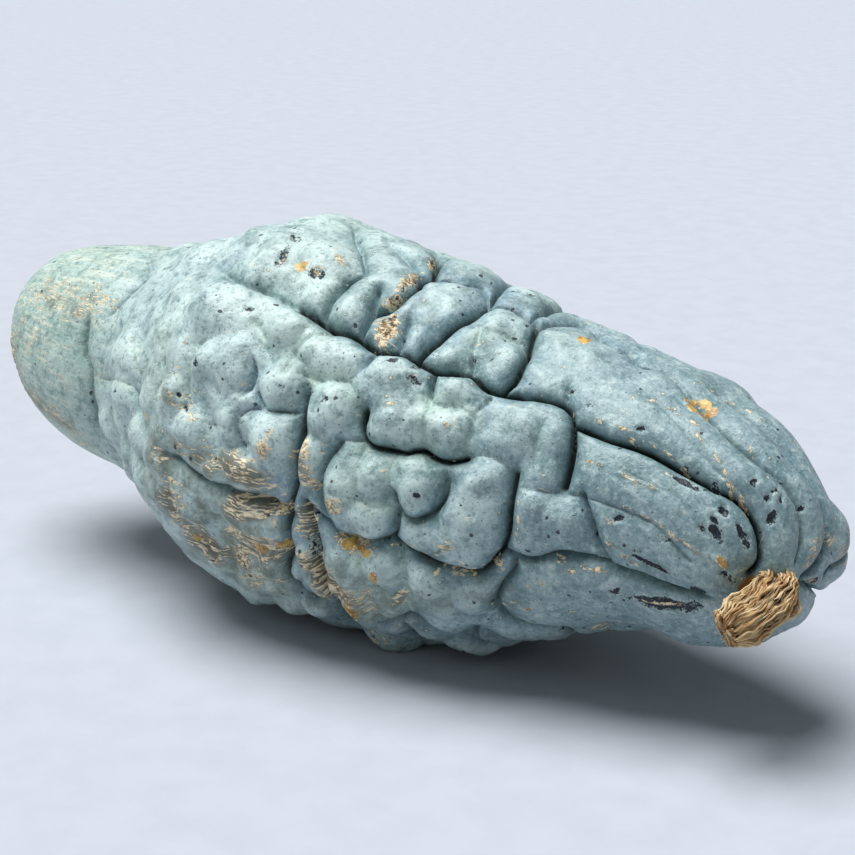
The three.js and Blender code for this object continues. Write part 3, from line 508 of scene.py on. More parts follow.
PITS = [
    [473, 47, 6.5, 2, -20, 1],
    [479, 45, 3, 1.5, -25, 0.8],
    [484, 36, 3, 4, -70, 0.8],
    [494, 37, 2.5, 2, -40, 1],
    [495, 45, 2.5, 1.5, -20, 0.9],
    [497, 48, 2.5, 3, -70, 1],
    [495, 54, 1.5, 2.5, -55, 0.7],
    [499, 30, 3, 2, -30, 0.9],
    [501, 26, 2, 2.5, -25, 0.8],
    [488, 15, 2, 2, 0, 0.9],
    [493, 8, 2, 1.5, 90, 0.8],
    [491, 3, 2.5, 1.5, 75, 0.8],
    [497, 4, 3, 2, 65, 1],
    [493, -1, 1.5, 1.5, 0, 0.8],
    [493, -19, 1.5, 1.5, 0, 0.9],
    [485, -12, 2, 2, 0, 0.7],
    [442, 38, 2.5, 1.5, -25, 0.9],
    [456, 78, 3, 1.5, -50, 1],
    [476, 90, 3, 2, -20, 0.6],
    [490, 76, 2.5, 2, -35, 0.6],
    [490, 94, 8, 1.5, 5, 0.9],
    [501, 104, 3, 2.5, 60, 0.9],
    [504, 67, 3, 2.5, -35, 0.7],
    [493, 121, 13, 4, 5, 1],
    [464, 117, 2, 3.5, 20, 0.9],
    [501, 123, 1.5, 1.5, 0, 0.8],
    [500, -75, 2.5, 3, 10, 0.8],
    [319, 44, 3.5, 2.5, -15, 0.9],
    [335, 48, 5.5, 3.5, 5, 0.65],
    [331, 43, 3, 4, 0, 0.7],
    [302, 32, 10, 4.5, 70, 0.7],
    [291, 15, 13, 3, 75, 0.6],
    [293, 23, 5.5, 2.5, -60, 0.7],
    [278, -6, 10, 2.5, 65, 0.7],
    [246, 26, 8, 3, -15, 0.7],
    [222, 25, 9, 3, 80, 0.8],
    [216, 16, 6, 3.5, 60, 0.7],
    [226, 44, 3.5, 2, -15, 0.8],
    [213, 63, 3, 3, -10, 0.7],
    [214, 54, 2.5, 1.5, -15, 0.6],
    [205, 73, 2, 2, 0, 0.7],
    [211, 76, 4.5, 2, 15, 0.7],
    [229, 79, 7, 4, 15, 0.5],
    [295, 61, 3, 2.5, -15, 0.7],
    [267, 62, 3.5, 3, -15, 0.5],
    [338, 37, 2.5, 2, -15, 0.8],
    [357, 32, 2.5, 1.5, 20, 0.7],
    [352, 82, 2, 2, 0, 1],
    [360, 100, 3.5, 2, -10, 0.6],
    [399, 55, 2.5, 2, -70, 0.6],
    [407, 33, 2, 2, 0, 0.8],
    [344, -11, 2, 2, 0, 0.9],
    [293, 107, 3.5, 9, -20, 0.6],
    [247, 118, 8, 6, -25, 0.6],
    [260, 98, 8, 3, 0, 0.5],
    [417, 37, 2, 2, 0, 0.6],
    [294, 94, 4, 6, 5, 0.6],
]
STAINS = [
    [240, 112, 62, 34, 10, 1],
    [205, 100, 40, 24, 30, 0.7],
    [310, 122, 34, 26, 0, 0.8],
    [22, 100, 16, 26, 0, 0.6],
    [350, 118, 50, 14, 0, 0.4],
    [185, 72, 26, 18, 30, 0.4],
]

# Short cream dashes
DASH_SEED = 31
DASH_SPACING = [5, 14]
DASH_SWAY = 5  # degrees
DASH_LONG = [1.5, 4.0]
DASH_WIDE = [0.8, 1.3]
DASH_STRENGTH = [0.7, 1.0]
# The lines along which they lie: along, around
DASH_LINES = [
    [[430, 25], [445, 22], [462, 24], [481, 27], [490, 26]],
    [[429, 60], [441, 59], [464, 57]],
    [[425, 42], [449, 42], [475, 39]],
    [[458, 74], [474, 75], [487, 73], [501, 68]],
    [[456, 93], [474, 98], [490, 98]],
    [[440, -6], [452, -16], [461, -16]],
    [[380, 125], [396, 127], [411, 125]],
    [[337, 101], [352, 100], [374, 106]],
    [[422, 104], [436, 105], [452, 108]],
    [[307, 127], [309, 133], [306, 148]],
    [[400, 75], [402, 88], [398, 99]],
]

# The same kinds of marks, strewn over the sides that the marks above leave bare: how many, and
# the ranges of their half length, half width and strength
STREWN_SEED = 23
STREWN_ALONG = [110, 490]
STREWN_AROUND = [150, 330]
STREWN_TURN = 50  # degrees
STREWN_CORK = [34, [4, 18], [3, 8], [0.35, 0.9]]
STREWN_GOLD = [12, [4, 8], [3, 6], [0.5, 0.9]]
STREWN_PITS = [44, [1.5, 4], [1.5, 3], [0.6, 0.9]]
STREWN_STAINS = [5, [24, 50], [16, 30], [0.4, 0.9]]
STREWN_STREAKS = [26, [12, 30], [4, 10], [0.4, 0.9]]

# Meshes

RINGS = 560
SIDES = 560
MEASURING_STEPS = 4000  # the skin's length is summed over this many steps
FRUIT_TRIANGLES = 190000
MM = 0.001
DEGREE = math.pi / 180

# Small helpers


def seeded(seed):
    """The same numbers from 0 to 1, each run, by adding and mixing the bits of a 32-bit state."""
    state = seed

    def draw():
        nonlocal state
        state = (state + 0x6D2B79F5) & 0xFFFFFFFF
        t = ((state ^ (state >> 15)) * (1 | state)) & 0xFFFFFFFF
        t = ((t + (((t ^ (t >> 7)) * (61 | t)) & 0xFFFFFFFF)) & 0xFFFFFFFF) ^ t
        return ((t ^ (t >> 14)) & 0xFFFFFFFF) / 4294967296

    return draw


def smooth(low, high, value):
    """0 up to the low value, 1 from the high one on, and a smooth rise between them."""
    t = np.clip((value - low) / (high - low), 0, 1)
    return t * t * (3 - 2 * t)


def mix(a, b, t):
    return a + (b - a) * t


def soften(field, length):
    """Blurs a field of the grid over the skin, by a length in mm."""
    turns = np.arange(SIDES // 2 + 1)
    fall = np.exp(-0.5 * (turns * length / np.maximum(radius(ring_along), length)[:, None]) ** 2)
    field = np.fft.irfft(np.fft.rfft(field, axis=1) * fall, SIDES, axis=1)
    reach = int(3 * length / ring_gap)
    weights = np.exp(-0.5 * (ring_gap * np.arange(-reach, reach + 1) / length) ** 2)
    padded = np.pad(field, ((reach, reach), (0, 0)), mode="edge")
    total = sum(weight * padded[i : i + len(field)] for i, weight in enumerate(weights))
    return total / weights.sum()


def round_crests(field, length):
    """Rounds the crests between the lines of a field, and leaves the lines themselves sharp."""
    return mix(soften(field, length), field, smooth(*SHARP_SHARES, field))


def unit(vectors):
    return vectors / np.maximum(np.linalg.norm(vectors, axis=-1, keepdims=True), 1e-12)


def travelled(points):
    """The length gone along a path, at each of its points."""
    return np.concatenate([[0], np.cumsum(np.linalg.norm(np.diff(points, axis=0), axis=1))])


def hermite(t, start, start_slope, end, end_slope, width=1):
    """A smooth curve between two values with given slopes, over the given width."""
    t2 = t * t
    t3 = t2 * t
    from_start = (2 * t3 - 3 * t2 + 1) * start + (t3 - 2 * t2 + t) * width * start_slope
    return from_start + (3 * t2 - 2 * t3) * end + (t3 - t2) * width * end_slope


def through(places, values, at):
    """A smooth curve through values at uneven places."""
    places = np.asarray(places, float)
    values = np.asarray(values, float)
    at = np.asarray(at, float)
    slope = np.empty_like(values)
    slope[1:-1] = (values[2:] - values[:-2]) / (places[2:] - places[:-2])
    slope[0] = (values[1] - values[0]) / (places[1] - places[0])
    slope[-1] = (values[-1] - values[-2]) / (places[-1] - places[-2])
    i = np.clip(np.searchsorted(places, at, side="right") - 1, 0, len(places) - 2)
    h = places[i + 1] - places[i]
    return hermite((at - places[i]) / h, values[i], slope[i], values[i + 1], slope[i + 1], h)


def lattice(points, size, seed):
    """Smooth noise from -1 to 1, with features about as large as the given size.

    Each corner of a cube gets a number from its place by large primes and mixed bits, and a point
    takes its value smoothly from the eight corners round it.
    """
    cell = points / size + 1000.5 * (1 + seed % 7)
    low = np.floor(cell).astype(np.int64)
    part = cell - low
    part = part * part * (3 - 2 * part)
    total = np.zeros(points.shape[:-1])
    for corner in range(8):
        step = np.array([corner & 1, (corner >> 1) & 1, corner >> 2])
        at = low + step
        mixed = at[..., 0] * 73856093 ^ at[..., 1] * 19349663 ^ at[..., 2] * 83492791
        mixed = mixed ^ (seed * 2654435761)
        mixed = (mixed ^ (mixed >> 13)) * 1274126177 & 0x7FFFFFFF
        mixed = (mixed ^ (mixed >> 16)) & 0xFFFF
        weight = np.prod(np.where(step == 1, part, 1 - part), axis=-1)
        total += weight * (mixed / 32767.5 - 1)
    return total


# The smooth form under the lumps

station_along = [row[0] for row in STATIONS]
station_y = [row[1] for row in STATIONS]
station_z = [row[2] for row in STATIONS]

# The radius is an ellipse from tip to pole times a fullness, so both ends close round
inner = [row[3] ** 2 / ((row[0] - TIP) * (POLE - row[0])) for row in STATIONS[1:-1]]
fullness = [inner[0], *inner, inner[-1]]


def centre(along):
    """The centre line's point."""
    along = np.asarray(along, float)
    y = through(station_along, station_y, along)
    z = through(station_along, station_z, along)
    return np.stack([START_X + along, CENTRE_Y + y, z], -1)


def radius(along):
    """The smooth form's radius round the centre line."""
    along = np.asarray(along, float)
    full = through(station_along, fullness, along)
    return np.sqrt(np.maximum(0, (along - TIP) * (POLE - along) * full))


def frame_at(along):
    """The centre line's direction, and the directions to the front and the top of its ring."""
    a = np.maximum(TIP, along - NUDGE)
    b = np.minimum(POLE, along + NUDGE)
    tangent = unit(centre(b) - centre(a))
    front = np.zeros_like(tangent)
    front[..., 1] = -1
    front = unit(front - tangent * np.sum(front * tangent, -1, keepdims=True))
    top = -np.cross(tangent, front)
    return tangent, front, top


def outward(along, around):
    """The centre line's direction, and the direction from it to a place on the skin."""
    tangent, front, top = frame_at(along)
    angle = np.asarray(around, float)[..., None] * DEGREE
    return tangent, top * np.cos(angle) + front * np.sin(angle)


def smooth_skin(along, around):
    """A place on the smooth form, as a point."""
    along = np.asarray(along, float)
    return centre(along) + outward(along, around)[1] * radius(along)[..., None]


def skin_normal(along, around):
    """The direction out of the smooth form there."""
    tangent, out = outward(along, around)
    a = np.maximum(TIP, along - SLOPE_STEP)
    b = np.minimum(POLE, along + SLOPE_STEP)
    rise = (radius(b) - radius(a)) / np.linalg.norm(centre(b) - centre(a), axis=-1)
    return unit(out - tangent * rise[..., None])


def rounded_path(places, count):
    """Points evenly spaced in parameter on a Catmull-Rom curve through the places."""
    places = np.asarray(places, float)
    ends = [2 * places[0] - places[1], 2 * places[-1] - places[-2]]
    padded = np.vstack([ends[0], places, ends[1]])
    spans = len(places) - 1
    at = np.linspace(0, spans, count + 1)
    i = np.minimum(at.astype(int), spans - 1)
    t = (at - i)[:, None]
    p0, p1, p2, p3 = padded[i], padded[i + 1], padded[i + 2], padded[i + 3]
    return hermite(t, p1, (p2 - p0) / 2, p2, (p3 - p1) / 2)


def chain(row):
    """A crease as points on the smooth skin, with its share of the full depth at each."""
    depth, fades, places = row
    fine = rounded_path(places, CREASE_CURVE_STEPS * len(places))
    on_skin = smooth_skin(fine[:, 0], fine[:, 1])
    gone = travelled(on_skin)
    length = gone[-1]
    count = max(2, round(length / CREASE_STEP))
    wanted = np.linspace(0, length, count + 1)
    along = np.interp(wanted, gone, fine[:, 0])
    around = np.interp(wanted, gone, fine[:, 1])
    share = np.full(count + 1, float(depth))
    if fades in ("start", "both"):
        share *= smooth(-FADE / 3, FADE, wanted)
    if fades in ("end", "both"):
        share *= smooth(-FADE / 3, FADE, length - wanted)
    return smooth_skin(along, around), share


def segments_of(rows):
    """The straight pieces of some creases: both ends, and the share of the depth at each."""
    segments = []
    for row in rows:
        points, share = chain(row)
        for i in range(1, len(points)):
            segments.append((points[i - 1], points[i], share[i - 1], share[i]))
    return segments


wander = seeded(CELL_SEED + 1)
back_ribs = []
for start in BACK_RIB_STARTS:
    places = [[along, start + BACK_RIB_WANDER * (2 * wander() - 1)] for along in BACK_RIB_ALONG]
    back_ribs.append([BACK_RIB_DEPTH, "start", places])

# The grid of the fruit, in rings evenly spaced along the skin

fine_along = TIP + LENGTH * (1 - np.cos(np.pi * np.linspace(0, 1, MEASURING_STEPS + 1))) / 2
fine_gone = np.concatenate([[0], np.cumsum(np.hypot(np.diff(fine_along), np.diff(radius(fine_along))))])
ring_gap = fine_gone[-1] / RINGS
ring_along = np.interp(ring_gap * np.arange(1, RINGS), fine_gone, fine_along)
side_around = 360.0 * np.arange(SIDES) / SIDES
grid_along = np.repeat(ring_along[:, None], SIDES, axis=1)
grid_around = np.repeat(side_around[None, :], len(ring_along), axis=0)
base = smooth_skin(grid_along, grid_around)
normal = skin_normal(grid_along, grid_around)
low_x = base[..., 0].min(axis=1)
high_x = base[..., 0].max(axis=1)


def near(middle, reach):
    """The grid points within a reach: the first row, their places from that row on, the points."""
    rows = np.nonzero((high_x > middle[0] - reach) & (low_x < middle[0] + reach))[0]
    block = base[rows[0] : rows[-1] + 1]
    close = np.sum((block - middle) ** 2, -1) < reach**2
    return rows[0], np.nonzero(close), block[close]


def raise_to(field, start, places, values):
    """Keeps the larger of a field and new values, at some places of it."""
    rows = places[0] + start
    field[rows, places[1]] = np.maximum(field[rows, places[1]], values)


def lip(distance, width):
    """A rounded lip: deepest and steepest at the crease, level at the given reach."""
    t = 1 - np.minimum(1, distance / width)
    return 1 - np.sqrt(1 - t * t)


def on_segment(points, segment):
    """Distance of points from a crease's straight piece, and the share of the depth beside them."""
    start, end, share_start, share_end = segment
    span = end - start
    t = np.clip((points - start) @ span / (span @ span), 0, 1)
    distance = np.linalg.norm(points - start - t[:, None] * span, axis=1)
    return distance, mix(share_start, share_end, t)


def line_mark(distance):
    """1 on a line, falling evenly to 0 beside it."""
    return np.maximum(0, 1 - distance / CREASE_MARK_REACH)


def crease_values(distance, share, thin=1):
    """A crease's cleft, bulge, cut, and the mark that its painted shade follows, at a distance from it."""
    return [
        share * lip(distance, thin * CREASE_REACH),
        share * lip(distance, thin * BULGE_REACH),
        share * (1 - smooth(0, CUT_REACH, distance)),
        share * line_mark(distance),
    ]


def raise_dome(field, middle, width, height):
    """A rounded lump of the given width and height."""
    start, places, points = near(middle, width)
    t = np.linalg.norm(points - middle, axis=1) / width
    raise_to(field, start, places, height * (1 - t * t) ** DOME_ROUNDNESS)


shape = grid_along.shape
creased = [np.zeros(shape) for _ in range(4)]
narrow = mix(1, CROWDED_SHARE, smooth(*CROWDED, grid_along))
for segment in segments_of([*CREASES, *back_ribs]):
    start, places, points = near((segment[0] + segment[1]) / 2, BULGE_REACH + CREASE_STEP)
    distance, share = on_segment(points, segment)
    thin = narrow[places[0] + start, places[1]]
    for field, values in zip(creased, crease_values(distance, share, thin)):
        raise_to(field, start, places, values)

dip = np.zeros(shape)
soft_mark = np.zeros(shape)
for segment in segments_of(VALLEYS):
    start, places, points = near((segment[0] + segment[1]) / 2, VALLEY_REACH + CREASE_STEP)
    distance, share = on_segment(points, segment)
    raise_to(dip, start, places, share * lip(distance, VALLEY_REACH))
    raise_to(soft_mark, start, places, share * line_mark(distance))

dome = np.zeros(shape)
for along, around, width, height in DOMES:
    raise_dome(dome, smooth_skin(along, around), width, height)

# Cells of the hidden side, and the knuckles


def hidden_share(along, around):
    """1 on the sides that the traced lumps leave bare, 0 where they are."""
    turn = (np.asarray(around) + 180) % 360 - 180
    behind = np.where(turn < 0, smooth(-BACK_AROUND[0], -BACK_AROUND[1], -turn), 0)
    under = np.where(turn > 0, smooth(*UNDER_AROUND, turn), 0)
    from_nose = smooth(CELL_ALONG[0], CELL_ALONG[0] + CELL_FADE, along)
    to_ribs = 1 - smooth(CELL_ALONG[1] - CELL_FADE, CELL_ALONG[1], along)
    return np.maximum(behind, under) * from_nose * to_ribs


def strew(seed, tries, along_range, around_range, spacing):
    """Seeded places on the smooth skin, none nearer to another than its room."""
    draw = seeded(seed)
    points = []
    rooms = []
    for _ in range(tries):
        along = mix(*along_range, draw())
        around = mix(*around_range, draw())
        room = mix(*spacing, draw())
        point = smooth_skin(along, around)
        if points:
            distance = np.linalg.norm(np.array(points) - point, axis=1)
            if np.any(distance <= np.maximum(room, rooms)):
                continue
        points.append(point)
        rooms.append(room)
    return np.array(points), np.array(rooms)


def grow_waves(seed, count, lengths):
    """Seeded plane waves, each as its direction over its length, and its phase."""
    draw = seeded(seed)
    waves = []
    for _ in range(count):
        turn = 2 * math.pi * draw()
        up = 2 * draw() - 1
        flat = math.sqrt(1 - up * up)
        length = mix(*lengths, draw())
        way = np.array([flat * math.cos(turn), flat * math.sin(turn), up]) * 2 * math.pi / length
        waves.append((way, 2 * math.pi * draw()))
    return waves


def swell(waves, points):
    """The waves' sum, mostly from -1 to 1."""
    return sum(np.sin(points @ way + phase) for way, phase in waves) / math.sqrt(len(waves))


cell_along = [CELL_ALONG[0] - CELL_FADE, CELL_ALONG[1] + CELL_FADE]
cell_around = [UNDER_AROUND[0] - CELL_SPILL, 360 + BACK_AROUND[0] + CELL_SPILL]
cells, _ = strew(CELL_SEED, CELL_TRIES, cell_along, cell_around, CELL_SPACING)
warp_waves = [grow_waves(CELL_SEED + 10 * i, WARP_WAVES, WARP_LENGTHS) for i in (1, 2, 3)]


def border_distance(centres, moved, places):
    """Distance from each place to the nearest border between two cells, one ring at a time."""
    distance = np.full(places.shape, np.inf)
    for row in range(places.shape[0]):
        here = np.nonzero(places[row])[0]
        if len(here) == 0:
            continue
        points = moved[row, here]
        low = points.min(axis=0) - CELL_ROOM
        high = points.max(axis=0) + CELL_ROOM
        there = centres[np.all((centres > low) & (centres < high), axis=1)]
        squared = np.sum((points[:, None, :] - there[None, :, :]) ** 2, -1)
        home = squared.argmin(axis=1)
        own = np.arange(len(here))
        between_cells = np.linalg.norm(there[:, None, :] - there[None, :, :], axis=-1)
        np.fill_diagonal(between_cells, 1)
        border = (squared - squared[own, home][:, None]) / (2 * between_cells[home])
        border[own, home] = np.inf
        distance[row, here] = border.min(axis=1)
    return distance


hidden = hidden_share(grid_along, grid_around)
warp = np.stack([swell(waves, base) for waves in warp_waves], -1)
distance = border_distance(cells, base + CELL_WARP * warp, hidden > 0)
hidden_values = crease_values(distance, hidden)
cleft, bulge, cut, crease_shade_mark = [np.maximum(field, values) for field, values in zip(creased, hidden_values)]

knuckle_along = [KNUCKLE_STARTS[0] - CELL_FADE, KNUCKLE_ENDS[1] + CELL_FADE]
knuckles, _ = strew(KNUCKLE_SEED, KNUCKLE_TRIES, knuckle_along, [0, 360], KNUCKLE_SPACING)
knuckle_zone = smooth(*KNUCKLE_STARTS, grid_along)
knuckle_zone *= 1 - smooth(*KNUCKLE_ENDS, grid_along)
knuckle_zone *= mix(KNUCKLE_WEAK_SHARE, 1, hidden)
patches = swell(grow_waves(KNUCKLE_SEED + 1, KNUCKLE_PATCH_WAVES, KNUCKLE_PATCHES), base)
knuckle_zone *= smooth(*KNUCKLE_PATCH_RANGE, patches)
distance = border_distance(knuckles, base + KNUCKLE_WARP * warp, knuckle_zone > 0)
knuckle = knuckle_zone * lip(distance, KNUCKLE_REACH)
soft_mark = np.maximum(soft_mark, KNUCKLE_TONE * (knuckle_zone * line_mark(distance)))

# Small knobs on the lumps

knob = np.zeros(shape)
knob_points, knob_rooms = strew(KNOB_SEED, KNOB_TRIES, KNOB_ALONG, [0, 360], KNOB_SPACING)
knob_draw = seeded(KNOB_SEED + 1)
for middle, room in zip(knob_points, knob_rooms):
    height = KNOB_HEIGHT * room * mix(KNOB_LEAST, 1, knob_draw())
    raise_dome(knob, middle, KNOB_WIDTH * room, height)
knob *= smooth(KNOB_ALONG[0], KNOB_ALONG[0] + KNOB_FADES[0], grid_along)
knob *= 1 - smooth(KNOB_ALONG[1] - KNOB_FADES[1], KNOB_ALONG[1], grid_along)

# Marks


def spots_field(rows):
    """A field that is the marks' strength on oval spots and falls to 0 round them."""
    field = np.zeros(shape)
    for along, around, half_long, half_wide, turn, strength in rows:
        middle = smooth_skin(along, around)
        start, places, points = near(middle, MARK_SPREAD * max(half_long, half_wide))
        tangent, out = outward(np.float64(along), np.float64(around))
        side = np.cross(tangent, out)
        angle = turn * DEGREE
        first = tangent * math.cos(angle) + side * math.sin(angle)
        second = side * math.cos(angle) - tangent * math.sin(angle)
        off = points - middle
        t = np.hypot(off @ first / half_long, off @ second / half_wide)
        raise_to(field, start, places, strength * np.clip(MARK_SPREAD - t, 0, 1))
    return field


def dashes():
    """Short rows of cork that follow the dash lines."""
    drawn = seeded(DASH_SEED)
    rows = []
    for line in DASH_LINES:
        line = np.array(line, float)
        gone = travelled(smooth_skin(line[:, 0], line[:, 1]))
        place = 0.0
        while place < gone[-1]:
            along = np.interp(place, gone, line[:, 0])
            around = np.interp(place, gone, line[:, 1]) + DASH_SWAY * (drawn() - 0.5)
            step = (line[-1] - line[0]) * [1, DEGREE * radius(along)]
            turn = math.atan2(step[1], step[0]) / DEGREE
            half_long = mix(*DASH_LONG, drawn())
            half_wide = mix(*DASH_WIDE, drawn())
            rows.append([along, around, half_long, half_wide, turn, mix(*DASH_STRENGTH, drawn())])
            place += mix(*DASH_SPACING, drawn())
    return rows


strewn = seeded(STREWN_SEED)


def strewn_spots(count, long, wide, strength):
    """Marks at seeded places on the hidden side."""
    rows = []
    for _ in range(count):
        along = mix(*STREWN_ALONG, strewn())
        around = mix(*STREWN_AROUND, strewn())
        half_long = mix(*long, strewn())
        half_wide = mix(*wide, strewn())
        turn = STREWN_TURN * (strewn() - 0.5)
        rows.append([along, around, half_long, half_wide, turn, mix(*strength, strewn())])
    return rows


cork = spots_field([*CORK, *dashes(), *strewn_spots(*STREWN_CORK)])
gold = spots_field([*GOLD, *strewn_spots(*STREWN_GOLD)])
pits = spots_field([*PITS, *strewn_spots(*STREWN_PITS)])
stains = spots_field([*STAINS, *strewn_spots(*STREWN_STAINS)])
streaked = spots_field([*STREAKS, *strewn_spots(*STREWN_STREAKS)])

# The whole relief

tip = centre(TIP)
pole = centre(POLE)
from_tip = np.linalg.norm(base - tip, axis=-1)
from_pole = np.linalg.norm(base - pole, axis=-1)
scar = SCAR_HEIGHT * (1 - smooth(SCAR_FLAT_SHARE * SCAR_RADIUS, SCAR_RADIUS, from_tip))
hollow = HOLLOW_DEPTH * (1 - smooth(0, HOLLOW_RADIUS, from_pole))
calm = mix(1, CALM_SHARE, smooth(*SWELL_CALMS, grid_along))
lumpy = smooth(*SWELL_STARTS, grid_along) * calm
swelling = lumpy * SWELL_HEIGHT * swell(grow_waves(SWELL_SEED, SWELL_WAVES, SWELL_LENGTHS), base)
knuckled = KNUCKLE_DEPTH * round_crests(knuckle, KNUCKLE_ROUNDING)
lines = CREASE_DEPTH * cleft + BULGE_DEPTH * round_crests(bulge, BULGE_ROUNDING)
lines += VALLEY_DEPTH * round_crests(dip, VALLEY_ROUNDING) + knuckled
relief = scar + swelling + dome - lines - hollow
ripple = np.zeros(shape)
for i, (size, height) in enumerate(zip(RIPPLE_SIZES, RIPPLE_HEIGHTS)):
    ripple += height * lattice(base, size, 3 + i)
ribbed = np.maximum(1 - smooth(*RIB_NOSE_ENDS, grid_along), smooth(*RIB_STEM_STARTS, grid_along))
rib_phase = RIB_WAVE_COUNT * grid_around * DEGREE + RIB_WAVE_WANDER * lattice(base, RIB_WAVE_SIZE, 9)
ribs = RIB_WAVE_HEIGHT * ribbed * np.sin(rib_phase) * smooth(*RIB_POLE_GAP, np.minimum(from_tip, from_pole))
grain = lattice(base, GRAIN_SIZE, 5)
relief += knob + lumpy * ripple + (1 - lumpy) * CALM_RIPPLE * ripple + ribs
relief -= CUT_DEPTH * cut * mix(CUT_LEAST, 1, narrow)
relief += CORK_RISE * smooth(*CORK_EDGE, cork + CORK_FRAY * grain) + CORK_GRAIN * np.clip(cork, 0, 1) * grain
relief += GOLD_RISE * smooth(*GOLD_EDGE, gold) * (1 + grain)
relief -= PIT_DEPTH * smooth(*PIT_EDGE, pits + PIT_FRAY * grain)
points = base + normal * relief[..., None]
points[..., 2] = np.maximum(points[..., 2], 0)  # nothing reaches below the ground


def tube_faces(rows, sides, first, start, end, turned=False):
    """Faces of a closed tube: squares between its rings, and a fan to a point at each end.

    first is the number of the rings' first point, start and end are those of the points at the
    ends, and turned is for rings that run the other way round.
    """
    i, j = np.meshgrid(np.arange(rows - 1), np.arange(sides), indexing="ij")
    after = (j + 1) % sides
    here = first + i * sides
    quads = np.stack([here + j, here + after, here + sides + after, here + sides + j], -1).reshape(-1, 4)
    column = first + np.arange(sides)
    beside = first + (np.arange(sides) + 1) % sides
    last = (rows - 1) * sides
    fans = [
        np.stack([np.full(sides, start), beside, column], -1),
        np.stack([np.full(sides, end), last + column, last + beside], -1),
    ]
    if turned:
        return quads[:, [0, 3, 2, 1]], [fan[:, [0, 2, 1]] for fan in fans]
    return quads, fans


def mesh_from(name, vertices, faces):
    """A mesh from its points and groups of faces, each group with one number of corners."""
    mesh = bpy.data.meshes.new(name)
    mesh.vertices.add(len(vertices))
    mesh.vertices.foreach_set("co", np.asarray(vertices, np.float32).ravel())
    loops = sum(len(group) * group.shape[1] for group in faces)
    count = sum(len(group) for group in faces)
    mesh.loops.add(loops)
    mesh.loops.foreach_set("vertex_index", np.concatenate([g.ravel() for g in faces]).astype(np.int32))
    mesh.polygons.add(count)
    sizes = np.concatenate([np.full(len(g), g.shape[1]) for g in faces])
    mesh.polygons.foreach_set("loop_start", (np.cumsum(sizes) - sizes).astype(np.int32))
    mesh.update(calc_edges=True)
    mesh.validate()
    return mesh


def smooth_shaded(mesh):
    mesh.polygons.foreach_set("use_smooth", np.ones(len(mesh.polygons), bool))


def store(mesh, name, values):
    """Keeps a number, or a place, for each point of a mesh."""
    values = np.asarray(values, np.float32)
    kind, field = ("FLOAT", "value") if values.ndim == 1 else ("FLOAT_VECTOR", "vector")
    mesh.attributes.new(name, kind, "POINT").data.foreach_set(field, values.ravel())


tip_point = tip + np.array([-SCAR_HEIGHT, 0, 0])
pole_point = points[-1].mean(axis=0)
vertices = np.vstack([tip_point, points.reshape(-1, 3), pole_point]) * MM
quads, fans = tube_faces(shape[0], SIDES, 1, 0, len(vertices) - 1, turned=True)
fruit_mesh = mesh_from("squash_skin", vertices, [quads, *fans])
fruit = placed("squash_skin", fruit_mesh)
thinned = fruit.modifiers.new("thinned", "DECIMATE")
thinned.ratio = FRUIT_TRIANGLES / (2 * len(quads) + 2 * SIDES)
thinned_mesh = bpy.data.meshes.new_from_object(fruit.evaluated_get(bpy.context.evaluated_depsgraph_get()))
fruit.modifiers.remove(thinned)
fruit.data = thinned_mesh
thinned_mesh.name = "squash_skin"
bpy.data.meshes.remove(fruit_mesh)
fruit_mesh = thinned_mesh
smooth_shaded(fruit_mesh)

# What the material needs to know at each point of the skin

tree = kdtree.KDTree(len(vertices))
for index, vertex in enumerate(vertices.tolist()):
    tree.insert(vertex, index)
tree.balance()
kept = np.empty(3 * len(fruit_mesh.vertices), np.float32)
fruit_mesh.vertices.foreach_get("co", kept)
nearest = np.array([tree.find(co)[1] for co in kept.reshape(-1, 3).tolist()])

HEIGHT_TONES = [-14, 3]  # the relief where the rind is darkest and palest: paler crests, partly bloom and partly painted light
NOSE_TONES = [60, 150]  # where the nose's tone starts to end, and where it is gone
NOSE_FRAY = 6
NOSE_FRAY_SIZE = 30
# where the stem end's deeper, bluer tone starts and is full: partly the rind's own tone there, partly
# painted shade on that side, away from the light
STEM_TONES = [340, 430]
RIM_TONES = [8, 14]  # distances from the pole
WRAP_RADIUS = 80  # the fruit's marks are drawn as if on a tube of this radius
WRAP_UNIT = 100
fields = {
    # crease: where the creases' painted shade falls
    "crease": np.clip(crease_shade_mark, 0, 1),
    "soft_line": soft_mark,
    "height": smooth(*HEIGHT_TONES, relief),
    "cork": cork,
    "gold": gold,
    "pits": pits,
    "streaked": streaked,
    "stains": stains,
    "nose": 1 - smooth(*NOSE_TONES, grid_along + NOSE_FRAY * lattice(base, NOSE_FRAY_SIZE, 12)),
    "stem_end": smooth(*STEM_TONES, grid_along),
    "rim": 1 - smooth(*RIM_TONES, from_pole),
}
for name, field in fields.items():
    whole = np.concatenate([[field[0].mean()], field.ravel(), [field[-1].mean()]])
    store(fruit_mesh, name, whole[nearest])
wrap_angle = grid_around * DEGREE
wrapped = np.stack([grid_along, WRAP_RADIUS * np.cos(wrap_angle), WRAP_RADIUS * np.sin(wrap_angle)], -1)
whole = np.vstack([[[TIP, 0, 0]], wrapped.reshape(-1, 3), [[POLE, 0, 0]]]) / WRAP_UNIT
store(fruit_mesh, "wrapped", whole[nearest])

# Node graphs


